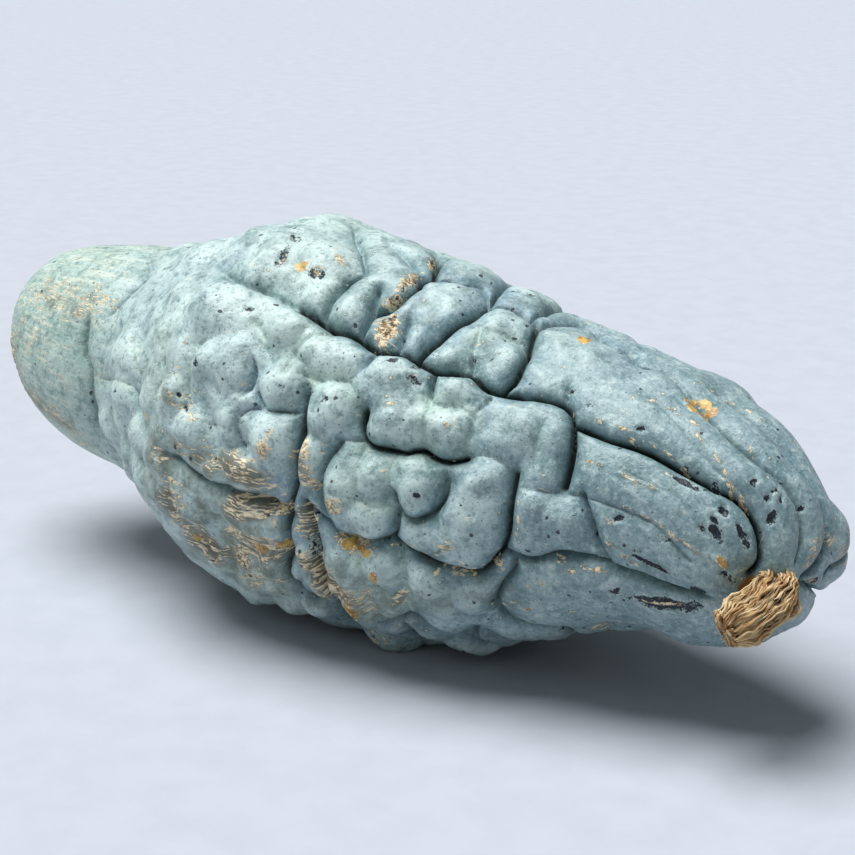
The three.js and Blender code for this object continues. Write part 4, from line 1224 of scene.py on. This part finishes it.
class Graph:
    """A material whose nodes are added one call at a time."""

    def __init__(self, name):
        self.material = bpy.data.materials.new(name)
        self.material.use_nodes = True
        self.tree = self.material.node_tree
        self.shader = self.tree.nodes["Principled BSDF"]

    def node(self, kind, **settings):
        made = self.tree.nodes.new(kind)
        for key, value in settings.items():
            setattr(made, key, value)
        return made

    def put(self, socket, value):
        if isinstance(value, bpy.types.NodeSocket):
            self.tree.links.new(value, socket)
        elif value is not None:
            socket.default_value = value

    def surface(self, name, value):
        self.put(self.shader.inputs[name], value)

    def place(self):
        return self.node("ShaderNodeTexCoord").outputs["Object"]

    def attribute(self, name, output="Fac"):
        return self.node("ShaderNodeAttribute", attribute_name=name).outputs[output]

    def math(self, operation, a, b=None, clamp=False):
        made = self.node("ShaderNodeMath", operation=operation, use_clamp=clamp)
        for socket, value in zip(made.inputs, (a, b)):
            self.put(socket, value)
        return made.outputs[0]

    def plus(self, a, b, clamp=False):
        return self.math("ADD", a, b, clamp)

    def times(self, a, b):
        return self.math("MULTIPLY", a, b)

    def here(self, value):
        """0 where there is no mark at all, 1 where there is a little of one."""
        return self.range(value, 0.02, 0.2)

    def frayed(self, value, noise, amount):
        """A value that noise makes uneven, up and down alike."""
        return self.plus(value, self.times(self.math("SUBTRACT", noise, 0.5), amount))

    def range(self, value, low, high, to_low=0.0, to_high=1.0):
        """A smooth step from one number to another, between a low and a high value."""
        made = self.node("ShaderNodeMapRange", interpolation_type="SMOOTHSTEP")
        for socket, item in zip(made.inputs, (value, low, high, to_low, to_high)):
            self.put(socket, item)
        return made.outputs[0]

    def mix(self, share, a, b):
        made = self.node("ShaderNodeMix", data_type="RGBA")
        self.put(made.inputs[0], share)
        self.put(made.inputs[6], a)
        self.put(made.inputs[7], b)
        return made.outputs[2]

    def noise(self, vector, scale, detail=3.0, rough=0.55, warp=0.0):
        made = self.node("ShaderNodeTexNoise")
        self.put(made.inputs["Vector"], vector)
        made.inputs["Scale"].default_value = scale
        made.inputs["Detail"].default_value = detail
        made.inputs["Roughness"].default_value = rough
        made.inputs["Distortion"].default_value = warp
        return made.outputs[0]

    def shaken(self, vector, scale, amount):
        """A vector moved a little by noise, so that shapes made from it are uneven."""
        made = self.node("ShaderNodeTexNoise")
        self.put(made.inputs["Vector"], vector)
        made.inputs["Scale"].default_value = scale
        middle = self.node("ShaderNodeVectorMath", operation="SUBTRACT")
        self.put(middle.inputs[0], made.outputs["Color"])
        middle.inputs[1].default_value = (0.5, 0.5, 0.5)
        moved = self.node("ShaderNodeVectorMath", operation="MULTIPLY_ADD")
        self.put(moved.inputs[0], middle.outputs[0])
        moved.inputs[1].default_value = (amount, amount, amount)
        self.put(moved.inputs[2], vector)
        return moved.outputs[0]

    def dots(self, vector, scale, widest, left_out):
        """Scattered dots: 1 inside a dot, with random sizes, and a share of them left out."""
        made = self.node("ShaderNodeTexVoronoi")
        self.put(made.inputs["Vector"], vector)
        made.inputs["Scale"].default_value = scale
        drawn = self.node("ShaderNodeSeparateColor")
        self.put(drawn.inputs[0], made.outputs["Color"])
        width = self.range(drawn.outputs[0], left_out, 1.0, 0.0, widest)
        inside = self.math("SUBTRACT", width, made.outputs["Distance"])
        return self.range(inside, 0.0, 0.06)

    def stretched(self, vector, factors):
        made = self.node("ShaderNodeVectorMath", operation="MULTIPLY")
        self.put(made.inputs[0], vector)
        made.inputs[1].default_value = factors
        return made.outputs[0]

    def bump(self, height, distance, strength):
        made = self.node("ShaderNodeBump")
        made.inputs["Strength"].default_value = strength
        made.inputs["Distance"].default_value = distance
        self.put(made.inputs["Height"], height)
        return made.outputs[0]


def colour(red, green, blue):
    """A colour from sRGB values, 0 to 255."""

    def linear(value):
        share = value / 255
        return share / 12.92 if share <= 0.04045 else ((share + 0.055) / 1.055) ** 2.4

    return (linear(red), linear(green), linear(blue), 1.0)


RIND_DEEP = colour(88, 116, 118)
RIND_MID = colour(144, 170, 167)
RIND_PALE = colour(198, 216, 212)
RIND_BLUE = colour(126, 152, 164)
# the stem end's deeper, bluer tone, with painted shade
RIND_STEM_END_AND_SHADE = colour(104, 130, 140)
RIND_NOSE = colour(156, 180, 168)
RIND_NOSE_PALE = colour(206, 212, 190)
RIND_NOSE_DEEP = colour(112, 140, 124)
RIND_GREEN_PALE = colour(186, 206, 190)
CORK_STAIN = colour(98, 90, 68)
OLIVE = colour(92, 98, 82)
# painted shade for the creases' lines
CREASE_PAINTED_SHADE = colour(20, 30, 27)
CREAM = colour(228, 214, 182)
CORK_BROWN = colour(150, 112, 70)
CORK_DARK = colour(70, 52, 36)
GOLD_BRIGHT = colour(208, 172, 94)
GOLD_DARK = colour(160, 120, 66)
PIT_NAVY = colour(22, 30, 38)
PIT_BLUE = colour(36, 50, 66)
RIM_ORANGE = colour(138, 92, 36)


def rind():
    g = Graph("rind")
    place = g.place()
    wrapped_at = g.attribute("wrapped", "Vector")
    at = {name: g.attribute(name) for name in fields}

    broad = g.noise(place, 14, 3)
    patchy = g.noise(place, 60, 4, 0.6, 0.3)
    blotchy = g.noise(place, 150, 3, 0.6)
    speckle = g.noise(place, 420, 3, 0.6)
    grainy = g.noise(place, 1100, 2, 0.6)
    crumbs = g.noise(place, 430, 4, 0.75)
    bent = g.shaken(wrapped_at, 5, 0.05)
    lengthwise = g.noise(g.stretched(bent, (3, 26, 26)), 1.0, 4, 0.6, 0.4)
    threads = g.noise(g.stretched(bent, (6, 56, 56)), 1.0, 2, 0.5)

    tone = g.mix(g.range(broad, 0.35, 0.65), RIND_MID, RIND_BLUE)
    tone = g.mix(g.range(patchy, 0.44, 0.66, 0, 0.85), tone, RIND_DEEP)
    # The lumps' crests are paler: partly the waxy bloom, partly painted light
    tops = g.times(g.range(at["height"], 0.6, 1.0), g.range(patchy, 0.7, 0.35, 0.3, 0.85))
    tone = g.mix(tops, tone, RIND_PALE)
    lines = g.times(g.range(at["soft_line"], 0.25, 0.95), g.range(patchy, 0.3, 0.6, 0.75, 0.25))
    tone = g.mix(lines, tone, RIND_GREEN_PALE)
    nose_tone = g.mix(g.range(lengthwise, 0.46, 0.66), RIND_NOSE, RIND_NOSE_PALE)
    nose_tone = g.mix(g.range(lengthwise, 0.42, 0.3, 0, 0.8), nose_tone, RIND_NOSE_DEEP)
    tone = g.mix(g.times(at["nose"], 0.75), tone, nose_tone)
    # The stem end gets deeper and bluer: partly its own tone, partly painted shade
    tone = g.mix(g.times(at["stem_end"], 0.65), tone, RIND_STEM_END_AND_SHADE)
    ribbed_tone = g.mix(g.range(lengthwise, 0.5, 0.68, 0, 0.5), tone, RIND_DEEP)
    tone = g.mix(g.times(at["stem_end"], 0.8), tone, ribbed_tone)

    # Blotches, speckles and grains, pale and deep: where each starts and is full, and its share
    flecks = [
        [blotchy, 0.52, 0.7, 0.42, RIND_PALE],
        [blotchy, 0.47, 0.3, 0.6, RIND_DEEP],
        [speckle, 0.5, 0.72, 0.35, RIND_PALE],
        [speckle, 0.46, 0.3, 0.6, RIND_DEEP],
        [grainy, 0.54, 0.75, 0.3, RIND_PALE],
        [grainy, 0.44, 0.25, 0.4, RIND_DEEP],
    ]
    for noise, starts, full, share, fleck_tone in flecks:
        tone = g.mix(g.range(noise, starts, full, 0, share), tone, fleck_tone)

    # The creases darken toward their line: painted shade, deep green beside the line and nearly black in it
    edge = g.frayed(at["crease"], patchy, 0.16)
    tone = g.mix(g.range(edge, 0.5, 0.95, 0, 0.5), tone, RIND_DEEP)
    tone = g.mix(g.range(edge, 0.82, 0.98, 0, 0.97), tone, CREASE_PAINTED_SHADE)

    # Olive stains with thin corky threads that run along the fruit
    olive = g.times(at["stains"], g.range(g.plus(patchy, g.times(blotchy, 0.6)), 0.6, 0.95))
    tone = g.mix(g.times(olive, 0.85), tone, OLIVE)
    tone = g.mix(g.range(g.frayed(at["streaked"], patchy, 1.4), 0.3, 1.0, 0, 0.8), tone, CORK_STAIN)
    broken = g.frayed(at["streaked"], blotchy, 2.4)
    thread = g.range(g.math("ABSOLUTE", g.math("SUBTRACT", threads, 0.5)), 0.06, 0.03)
    thread_on = g.times(thread, g.range(broken, 0.35, 0.6))
    thread_on = g.times(thread_on, g.here(at["streaked"]))
    tone = g.mix(thread_on, tone, g.mix(g.range(crumbs, 0.35, 0.5), CORK_BROWN, CREAM))

    # Small dots and dashes, each of its own size, and more of them in some places than others
    uneven = g.shaken(place, 400, 0.0022)
    dot = g.dots(uneven, 230, 0.2, 0.5)
    ring = g.dots(uneven, 230, 0.34, 0.5)
    dark_dot = g.dots(g.shaken(place, 300, 0.003), 170, 0.22, 0.6)
    speck = g.dots(g.shaken(place, 700, 0.0014), 430, 0.24, 0.45)
    dash = g.dots(g.stretched(g.shaken(wrapped_at, 30, 0.04), (9, 44, 44)), 1.0, 0.24, 0.6)
    crowd = g.range(patchy, 0.42, 0.6)
    thin = g.range(patchy, 0.56, 0.4)
    tone = g.mix(g.times(g.times(ring, crowd), 0.5), tone, RIND_DEEP)
    tone = g.mix(g.times(dark_dot, 0.85), tone, PIT_NAVY)
    tone = g.mix(g.times(speck, 0.55), tone, PIT_NAVY)
    tone = g.mix(g.times(dot, crowd), tone, CREAM)
    tone = g.mix(g.times(g.times(dash, thin), 0.8), tone, CREAM)

    # Corky scabs, golden blemishes, dark pits, and the rim round the stem
    cork_edge = g.plus(g.frayed(at["cork"], crumbs, 2.4), g.times(thread, 0.35))
    cork_on = g.times(g.range(cork_edge, 0.72, 0.86), g.here(at["cork"]))
    cork_tone = g.mix(g.range(crumbs, 0.42, 0.54), CORK_BROWN, CREAM)
    cork_tone = g.mix(g.range(threads, 0.42, 0.3, 0, 0.8), cork_tone, CORK_DARK)
    gold_on = g.times(g.range(g.frayed(at["gold"], crumbs, 1.2), 0.48, 0.62), g.here(at["gold"]))
    gold_tone = g.mix(g.range(blotchy, 0.4, 0.6), GOLD_BRIGHT, GOLD_DARK)
    gold_tone = g.mix(g.range(crumbs, 0.56, 0.66), gold_tone, CREAM)
    pit_edge = g.frayed(at["pits"], crumbs, -1.9)
    pit_on = g.times(g.range(pit_edge, 0.6, 0.74), g.here(at["pits"]))
    pit_rim = g.times(g.range(pit_edge, 0.42, 0.58), g.here(at["pits"]))
    tone = g.mix(g.times(pit_rim, 0.5), tone, RIND_PALE)
    tone = g.mix(pit_on, tone, g.mix(g.range(speckle, 0.4, 0.6), PIT_NAVY, PIT_BLUE))
    tone = g.mix(cork_on, tone, cork_tone)
    tone = g.mix(gold_on, tone, gold_tone)
    tone = g.mix(g.range(g.plus(at["rim"], g.times(crumbs, 0.5)), 0.8, 1.2), tone, RIM_ORANGE)

    rough = g.plus(g.range(speckle, 0.3, 0.7, 0.4, 0.52), g.times(cork_on, 0.35))
    rough = g.plus(rough, g.times(g.range(edge, 0.6, 1.0), 0.2), clamp=True)
    fine = g.plus(g.times(speckle, 0.6), blotchy)
    fine = g.plus(fine, g.times(grainy, 0.25))
    fine = g.plus(fine, g.times(g.times(cork_on, crumbs), 1.2))
    fine = g.plus(fine, g.times(g.math("MAXIMUM", dot, thread_on), 0.5))
    fine = g.plus(fine, g.times(g.math("MAXIMUM", pit_on, dark_dot), -0.8))
    g.surface("Base Color", tone)
    g.surface("Roughness", rough)
    g.surface("Specular IOR Level", 0.42)
    g.surface("Normal", g.bump(fine, 0.0008, 0.8))
    return g.material


fruit_mesh.materials.append(rind())
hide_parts("squash_body")
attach(fruit, "root")

# The stem: a shrivelled core with ridges, and loose fibres over it

STEM_PATH = [
    [241, -23, 83],
    [255.5, -30.5, 79.5],
    [256.5, -41, 77.5],
    [254, -52, 74],
    [249, -61, 70.5],
]
STEM_RADII = [7, 10.5, 11, 11, 12]
END_ROUNDING = 0.3  # the share of its radius that the stem loses at its end
END_ROUNDS = [0.84, 1.02]  # shares of its length over which it does so
STEM_PATH_STEPS = 400
STEM_SLOPE_STEP = 0.02  # its direction is measured over this share of its length each way
STEM_TWIST = 0.9  # radians over its length
STEM_NOISE_RADIUS = 10
CORE_SECTIONS = 130
CORE_SIDES = 180
CORE_SHARE = 0.86  # the core's radius as a share of the stem's
RIDGE_HEIGHT = 2.2
RIDGE_SHARES = [0.55, 0.3]  # of the broad ridges and the fine ones in that height
RIDGE_SIZES = [[3.0, 13], [1.3, 6]]  # round the stem and along it
TORN_LENGTH = 2.0  # how far the torn end is uneven
TORN_STARTS = 0.8  # the share of the stem's length from which it is
TORN_SIZE = [1.3, 9]
END_HOLLOW = 3.0  # how far the end's middle has sunk in
END_HOLLOW_SHARE = 0.6  # of its radius, where the hollow has its full depth
END_ROUGHNESS = 0.8
END_ROUGH_SIZE = 1.6
END_RINGS = 14
CORE_PAINTED_SHADE = 0.45  # shades, from 0 for dark to 1 for pale: the core's ridges, kept dark as painted shade in the gaps between the fibres
FURROW_LIFTS = [-1.6, 1.2]  # from its furrows, where the painted shade is darkest, to its ridges
# the torn end's surface, painted dark as the shade between the fibre ends over it
END_PAINTED_SHADE = 0.25
TIP_PAINTED_SHADE = 0.2  # of the point in the middle of each end
STEM_LUMP = 1.0
LUMP_SIZE = [7, 9]
STEM_KNOT = 1.6  # higher lumps near the fruit
KNOT_SIZE = [3.6, 3.6]
KNOT_ENDS = [0.25, 0.6]  # shares of the length over which they end
FIBRES = 125
END_FIBRES = 70  # those that lie over the torn end
FIBRE_SEED = 77
FIBRE_STEPS = 36
FIBRE_SIDES = 6
FIBRE_THICKNESS = [0.22, 0.75]
FIBRE_POINT = 0.25  # the thickness at its ends, as a share
FIBRE_TAPER = 6  # how fast it grows from there
FIBRE_STARTS = [0.12, 0.75]  # shares of the stem's length
LOW_FIBRE_STARTS = [0.05, 0.25]  # of the fibres that start near the fruit
HIGH_FIBRE_SHARE = 0.6  # of the fibres, those that don't
FIBRE_LENGTHS = [0.25, 0.9]
FIBRE_LAST = 1.04  # none ends farther out
FIBRE_SWAY = 0.16  # radians to either side
FIBRE_SWAYS = [0.5, 1.6]  # waves over the stem's length
FIBRE_HEIGHTS = [-1.4, 0.5]  # over the stem's skin
FIBRE_WAVE = 0.5
FIBRE_WAVES = 2.6
FIBRE_SHADES = [0.3, 1.0]
END_FIBRE_LENGTHS = [0.5, 1.1]  # shares of the end's radius
END_FIBRE_BENDS = [-0.9, 0.9]  # radians
END_FIBRE_LIFTS = [-1.0, 1.2]
END_FIBRE_SHADES = [0.25, 0.7]
CRINKLE = 1.0  # how far a fibre strays
CRINKLE_SIZE = 3.2

stem_fine = rounded_path(STEM_PATH, STEM_PATH_STEPS)
stem_gone = travelled(stem_fine)
stem_length = stem_gone[-1]


def stem_middle(t):
    """The middle of the stem at a share of its length."""
    wanted = np.asarray(t, float) * stem_length
    return np.stack([np.interp(wanted, stem_gone, stem_fine[:, k]) for k in range(3)], -1)


def stem_frame(t):
    """The stem's direction there, and the directions to its side and its top."""
    t = np.asarray(t, float)
    after = stem_middle(np.minimum(1, t + STEM_SLOPE_STEP))
    tangent = unit(after - stem_middle(np.maximum(0, t - STEM_SLOPE_STEP)))
    up = np.zeros_like(tangent)
    up[..., 2] = 1
    side = unit(np.cross(tangent, up))
    return tangent, side, np.cross(side, tangent)


def stem_radius(t):
    rounded_end = 1 - END_ROUNDING * smooth(*END_ROUNDS, t)
    return rounded_end * through(np.linspace(0, 1, len(STEM_RADII)), STEM_RADII, t)


def stem_skin(t, angle, lift):
    """A point on the stem: a share of its length, an angle round it and a height over its skin."""
    tangent, side, over = stem_frame(t)
    out = side * np.cos(angle)[..., None] + over * np.sin(angle)[..., None]
    return stem_middle(t) + out * (stem_radius(t) + lift)[..., None], tangent


def stem_noise(t, angle, around_size, along_size, seed):
    """Smooth noise whose features have one size round the stem and another along it."""
    across = np.cos(angle) * STEM_NOISE_RADIUS / around_size
    upward = np.sin(angle) * STEM_NOISE_RADIUS / around_size
    return lattice(np.stack([across, upward, t * stem_length / along_size], -1), 1.0, seed)


def stem_lumps(t, angle):
    """How far the shrivelled stem's surface rises and falls."""
    knotty = 1 - smooth(*KNOT_ENDS, t)
    lumps = STEM_LUMP * stem_noise(t, angle, *LUMP_SIZE, 3)
    return lumps + STEM_KNOT * knotty * stem_noise(t, angle, *KNOT_SIZE, 4)


# A tube is its rings of points, the points at its two ends, and for each point a shade and a place
# along and round the fibres that the material draws by. A fibre's shade is its own tone; the core's is
# painted shade, for the gaps between the fibres.
stem_tubes = []

core_t = np.linspace(0, 1, CORE_SECTIONS)[:, None] * np.ones(CORE_SIDES)[None, :]
core_angle = np.ones(CORE_SECTIONS)[:, None] * (2 * np.pi * np.arange(CORE_SIDES) / CORE_SIDES)[None, :]
turned = core_angle - STEM_TWIST * core_t
ridge = 1 - 2 * np.abs(stem_noise(core_t, turned, *RIDGE_SIZES[0], 1))
ridge_fine = 1 - 2 * np.abs(stem_noise(core_t, turned, *RIDGE_SIZES[1], 2))
core_inset = (CORE_SHARE - 1) * stem_radius(core_t)
lift = core_inset + RIDGE_HEIGHT * (RIDGE_SHARES[0] * ridge + RIDGE_SHARES[1] * ridge_fine)
lift += stem_lumps(core_t, core_angle)
core, core_tangent = stem_skin(core_t, core_angle, lift)
torn = TORN_LENGTH * smooth(TORN_STARTS, 1, core_t) * stem_noise(core_t * 0, turned, *TORN_SIZE, 5)
core += core_tangent * torn[..., None]

# The torn end's surface, in rings from its rim to its middle
rim_points = core[-1]
rim_middle = rim_points.mean(axis=0)
end_rings = []
for k in range(1, END_RINGS):
    share = k / END_RINGS
    sunk = END_HOLLOW * smooth(0, END_HOLLOW_SHARE, share)
    uneven_end = END_ROUGHNESS * lattice(rim_points * (1 - share), END_ROUGH_SIZE, 6)
    end_rings.append(mix(rim_points, rim_middle, share) - core_tangent[-1] * (sunk + uneven_end)[:, None])
end_count = len(end_rings) * CORE_SIDES
core_ends = [stem_middle(0.0), rim_middle - core_tangent[-1, 0] * END_HOLLOW]
# The core is painted dark, darkest in its furrows, and so is its torn end: painted shade in the gaps between
# the fibres
core_painted_shade = CORE_PAINTED_SHADE * smooth(*FURROW_LIFTS, lift - core_inset).ravel()
core_painted_shades = np.concatenate([core_painted_shade, np.full(end_count, END_PAINTED_SHADE), [TIP_PAINTED_SHADE, TIP_PAINTED_SHADE]])
core_places = np.stack([core_t * 4, np.cos(turned), np.sin(turned)], -1).reshape(-1, 3)
end_place = [4.2, 0, 0]
core_places = np.vstack([core_places, np.tile(end_place, (end_count, 1)), [0, 0, 0], end_place])
stem_tubes.append([np.concatenate([core, end_rings]), core_ends, core_painted_shades, core_places])


def fibre(points, thickness, shade, place):
    """A thin round strand with pointed ends."""
    steps = len(points)
    tangent = unit(np.gradient(points, axis=0))
    side = unit(np.cross(tangent, np.array([0.3, 0.2, 1.0])))
    over = np.cross(side, tangent)
    angle = 2 * np.pi * np.arange(FIBRE_SIDES) / FIBRE_SIDES
    t = np.linspace(0, 1, steps)
    taper = thickness * np.minimum(1, FIBRE_TAPER * np.minimum(t, 1 - t) + FIBRE_POINT)
    rows = points[:, None, :] + taper[:, None, None] * (
        side[:, None, :] * np.cos(angle)[None, :, None] + over[:, None, :] * np.sin(angle)[None, :, None]
    )
    total = steps * FIBRE_SIDES + 2
    places = np.tile([4 * place, 3 * shade, place], (total, 1))
    stem_tubes.append([rows, [points[0], points[-1]], np.full(total, shade), places])


def crinkled(points):
    """A strand's points, strayed from their smooth line."""
    strays = [lattice(points, CRINKLE_SIZE, 20 + axis) for axis in range(3)]
    return points + CRINKLE * np.stack(strays, -1)


draw = seeded(FIBRE_SEED)
for _ in range(FIBRES):
    angle = 2 * math.pi * draw()
    starts = FIBRE_STARTS if draw() < HIGH_FIBRE_SHARE else LOW_FIBRE_STARTS
    start = mix(*starts, draw())
    end = min(FIBRE_LAST, start + mix(*FIBRE_LENGTHS, draw()))
    t = np.linspace(start, end, FIBRE_STEPS)
    sway = FIBRE_SWAY * np.sin(2 * math.pi * (mix(*FIBRE_SWAYS, draw()) * t + draw()))
    around = angle + STEM_TWIST * t + sway
    thickness = mix(*FIBRE_THICKNESS, draw())
    height = mix(*FIBRE_HEIGHTS, draw()) + FIBRE_WAVE * np.sin(2 * math.pi * (FIBRE_WAVES * t + draw()))
    height += stem_lumps(t, around)
    lifted, _ = stem_skin(np.minimum(t, 1), around, height)
    beyond = np.maximum(0, t - 1)[:, None] * stem_length
    lifted = lifted + stem_frame(np.minimum(t, 1))[0] * beyond
    fibre(crinkled(lifted), thickness, mix(*FIBRE_SHADES, draw()), draw())
for _ in range(END_FIBRES):
    share = np.linspace(0, mix(*END_FIBRE_LENGTHS, draw()), FIBRE_STEPS // 2)
    around = np.full_like(share, 2 * math.pi * draw()) + mix(*END_FIBRE_BENDS, draw()) * share
    strand, along_stem = stem_skin(np.ones_like(share), around, -share * stem_radius(1.0))
    strand = strand + along_stem * (mix(*END_FIBRE_LIFTS, draw()) + np.sin(3 * share))[:, None]
    fibre(crinkled(strand), mix(*FIBRE_THICKNESS, draw()), mix(*END_FIBRE_SHADES, draw()), draw())

stem_vertices = []
stem_quads = []
stem_fans = []
count = 0
for rows, ends, _, _ in stem_tubes:
    end = count + rows.shape[0] * rows.shape[1]
    quads, fans = tube_faces(rows.shape[0], rows.shape[1], count, end, end + 1)
    stem_vertices += [rows.reshape(-1, 3), ends]
    stem_quads.append(quads)
    stem_fans += fans
    count = end + 2
stem_faces = [np.vstack(stem_quads), np.vstack(stem_fans)]
stem_mesh = mesh_from("dry_stem_fibres", np.vstack(stem_vertices) * MM, stem_faces)
smooth_shaded(stem_mesh)
store(stem_mesh, "shade", np.concatenate([tube[2] for tube in stem_tubes]))
store(stem_mesh, "fibre_at", np.vstack([tube[3] for tube in stem_tubes]))

STEM_PALE = colour(226, 204, 164)
STEM_TAN = colour(182, 148, 102)
STEM_GOLD = colour(146, 104, 58)
# dark strands, and the painted shade of the gaps between the fibres
STEM_DARK_AND_GAP_SHADE = colour(52, 36, 22)


def dry_stem():
    g = Graph("dry_stem")
    place = g.place()
    at = g.attribute("fibre_at", "Vector")
    shade = g.attribute("shade")
    streaks = g.noise(g.stretched(at, (1.0, 9, 9)), 2.0, 5, 0.65, 0.3)
    patches = g.noise(place, 90, 4, 0.6)
    tone = g.mix(g.range(patches, 0.4, 0.62), STEM_TAN, STEM_GOLD)
    tone = g.mix(g.range(streaks, 0.45, 0.66), tone, STEM_PALE)
    tone = g.mix(g.range(shade, 0.55, 1.0, 0, 0.55), tone, STEM_PALE)
    # Dark strands, and painted shade on the core and its end, in the gaps between the fibres
    tone = g.mix(g.range(shade, 0.5, 0.15, 0, 0.97), tone, STEM_DARK_AND_GAP_SHADE)
    fine = g.plus(g.noise(place, 900, 3), g.times(streaks, 1.5))
    g.surface("Base Color", tone)
    g.surface("Roughness", g.range(patches, 0.3, 0.7, 0.72, 0.9))
    g.surface("Specular IOR Level", 0.25)
    g.surface("Normal", g.bump(fine, 0.0004, 0.8))
    return g.material


stem = placed("dry_stem_fibres", stem_mesh)
stem_mesh.materials.append(dry_stem())
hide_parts("stem")
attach(stem, "root")

# The floor, the light round the scene and the lamps

FLOOR_SIZE = 60.0  # metres
FLOOR_TONES = [colour(172, 176, 184), colour(176, 180, 188)]
SKY_TINT = (0.86, 0.95, 0.98, 1.0)
SKY_POWER = 0.2

half = FLOOR_SIZE / 2
corners = [(-half, -half, 0), (half, -half, 0), (half, half, 0), (-half, half, 0)]
floor_mesh = bpy.data.meshes.new("floor")
floor_mesh.from_pydata(corners, [], [(0, 1, 2, 3)])
floor = placed("floor", floor_mesh)
paper = Graph("pale_floor")
cloudy = paper.range(paper.noise(paper.place(), 40, 3), 0.3, 0.7)
paper.surface("Base Color", paper.mix(cloudy, *FLOOR_TONES))
paper.surface("Roughness", 0.9)
paper.surface("Specular IOR Level", 0.1)
floor_mesh.materials.append(paper.material)

world = bpy.data.worlds.new("sky")
bpy.context.scene.world = world
world.use_nodes = True
sky = world.node_tree.nodes["Background"]
sky.inputs["Color"].default_value = SKY_TINT
sky.inputs["Strength"].default_value = SKY_POWER


def sun(name, toward, power, softness, tint):
    """A sun in the given direction, as soft as one that many degrees wide."""
    data = bpy.data.lights.new(name, "SUN")
    data.energy = power
    data.angle = math.radians(softness)
    data.color = tint
    aim(placed(name, data), Vector(toward))


sun("window", toward=(-0.27, -0.1, 0.96), power=4.9, softness=44, tint=(0.98, 0.99, 1.0))
sun("front", toward=(-0.2, -0.9, 0.6), power=0.2, softness=60, tint=(0.95, 1.0, 0.98))

bpy.context.scene.view_settings.view_transform = "Standard"
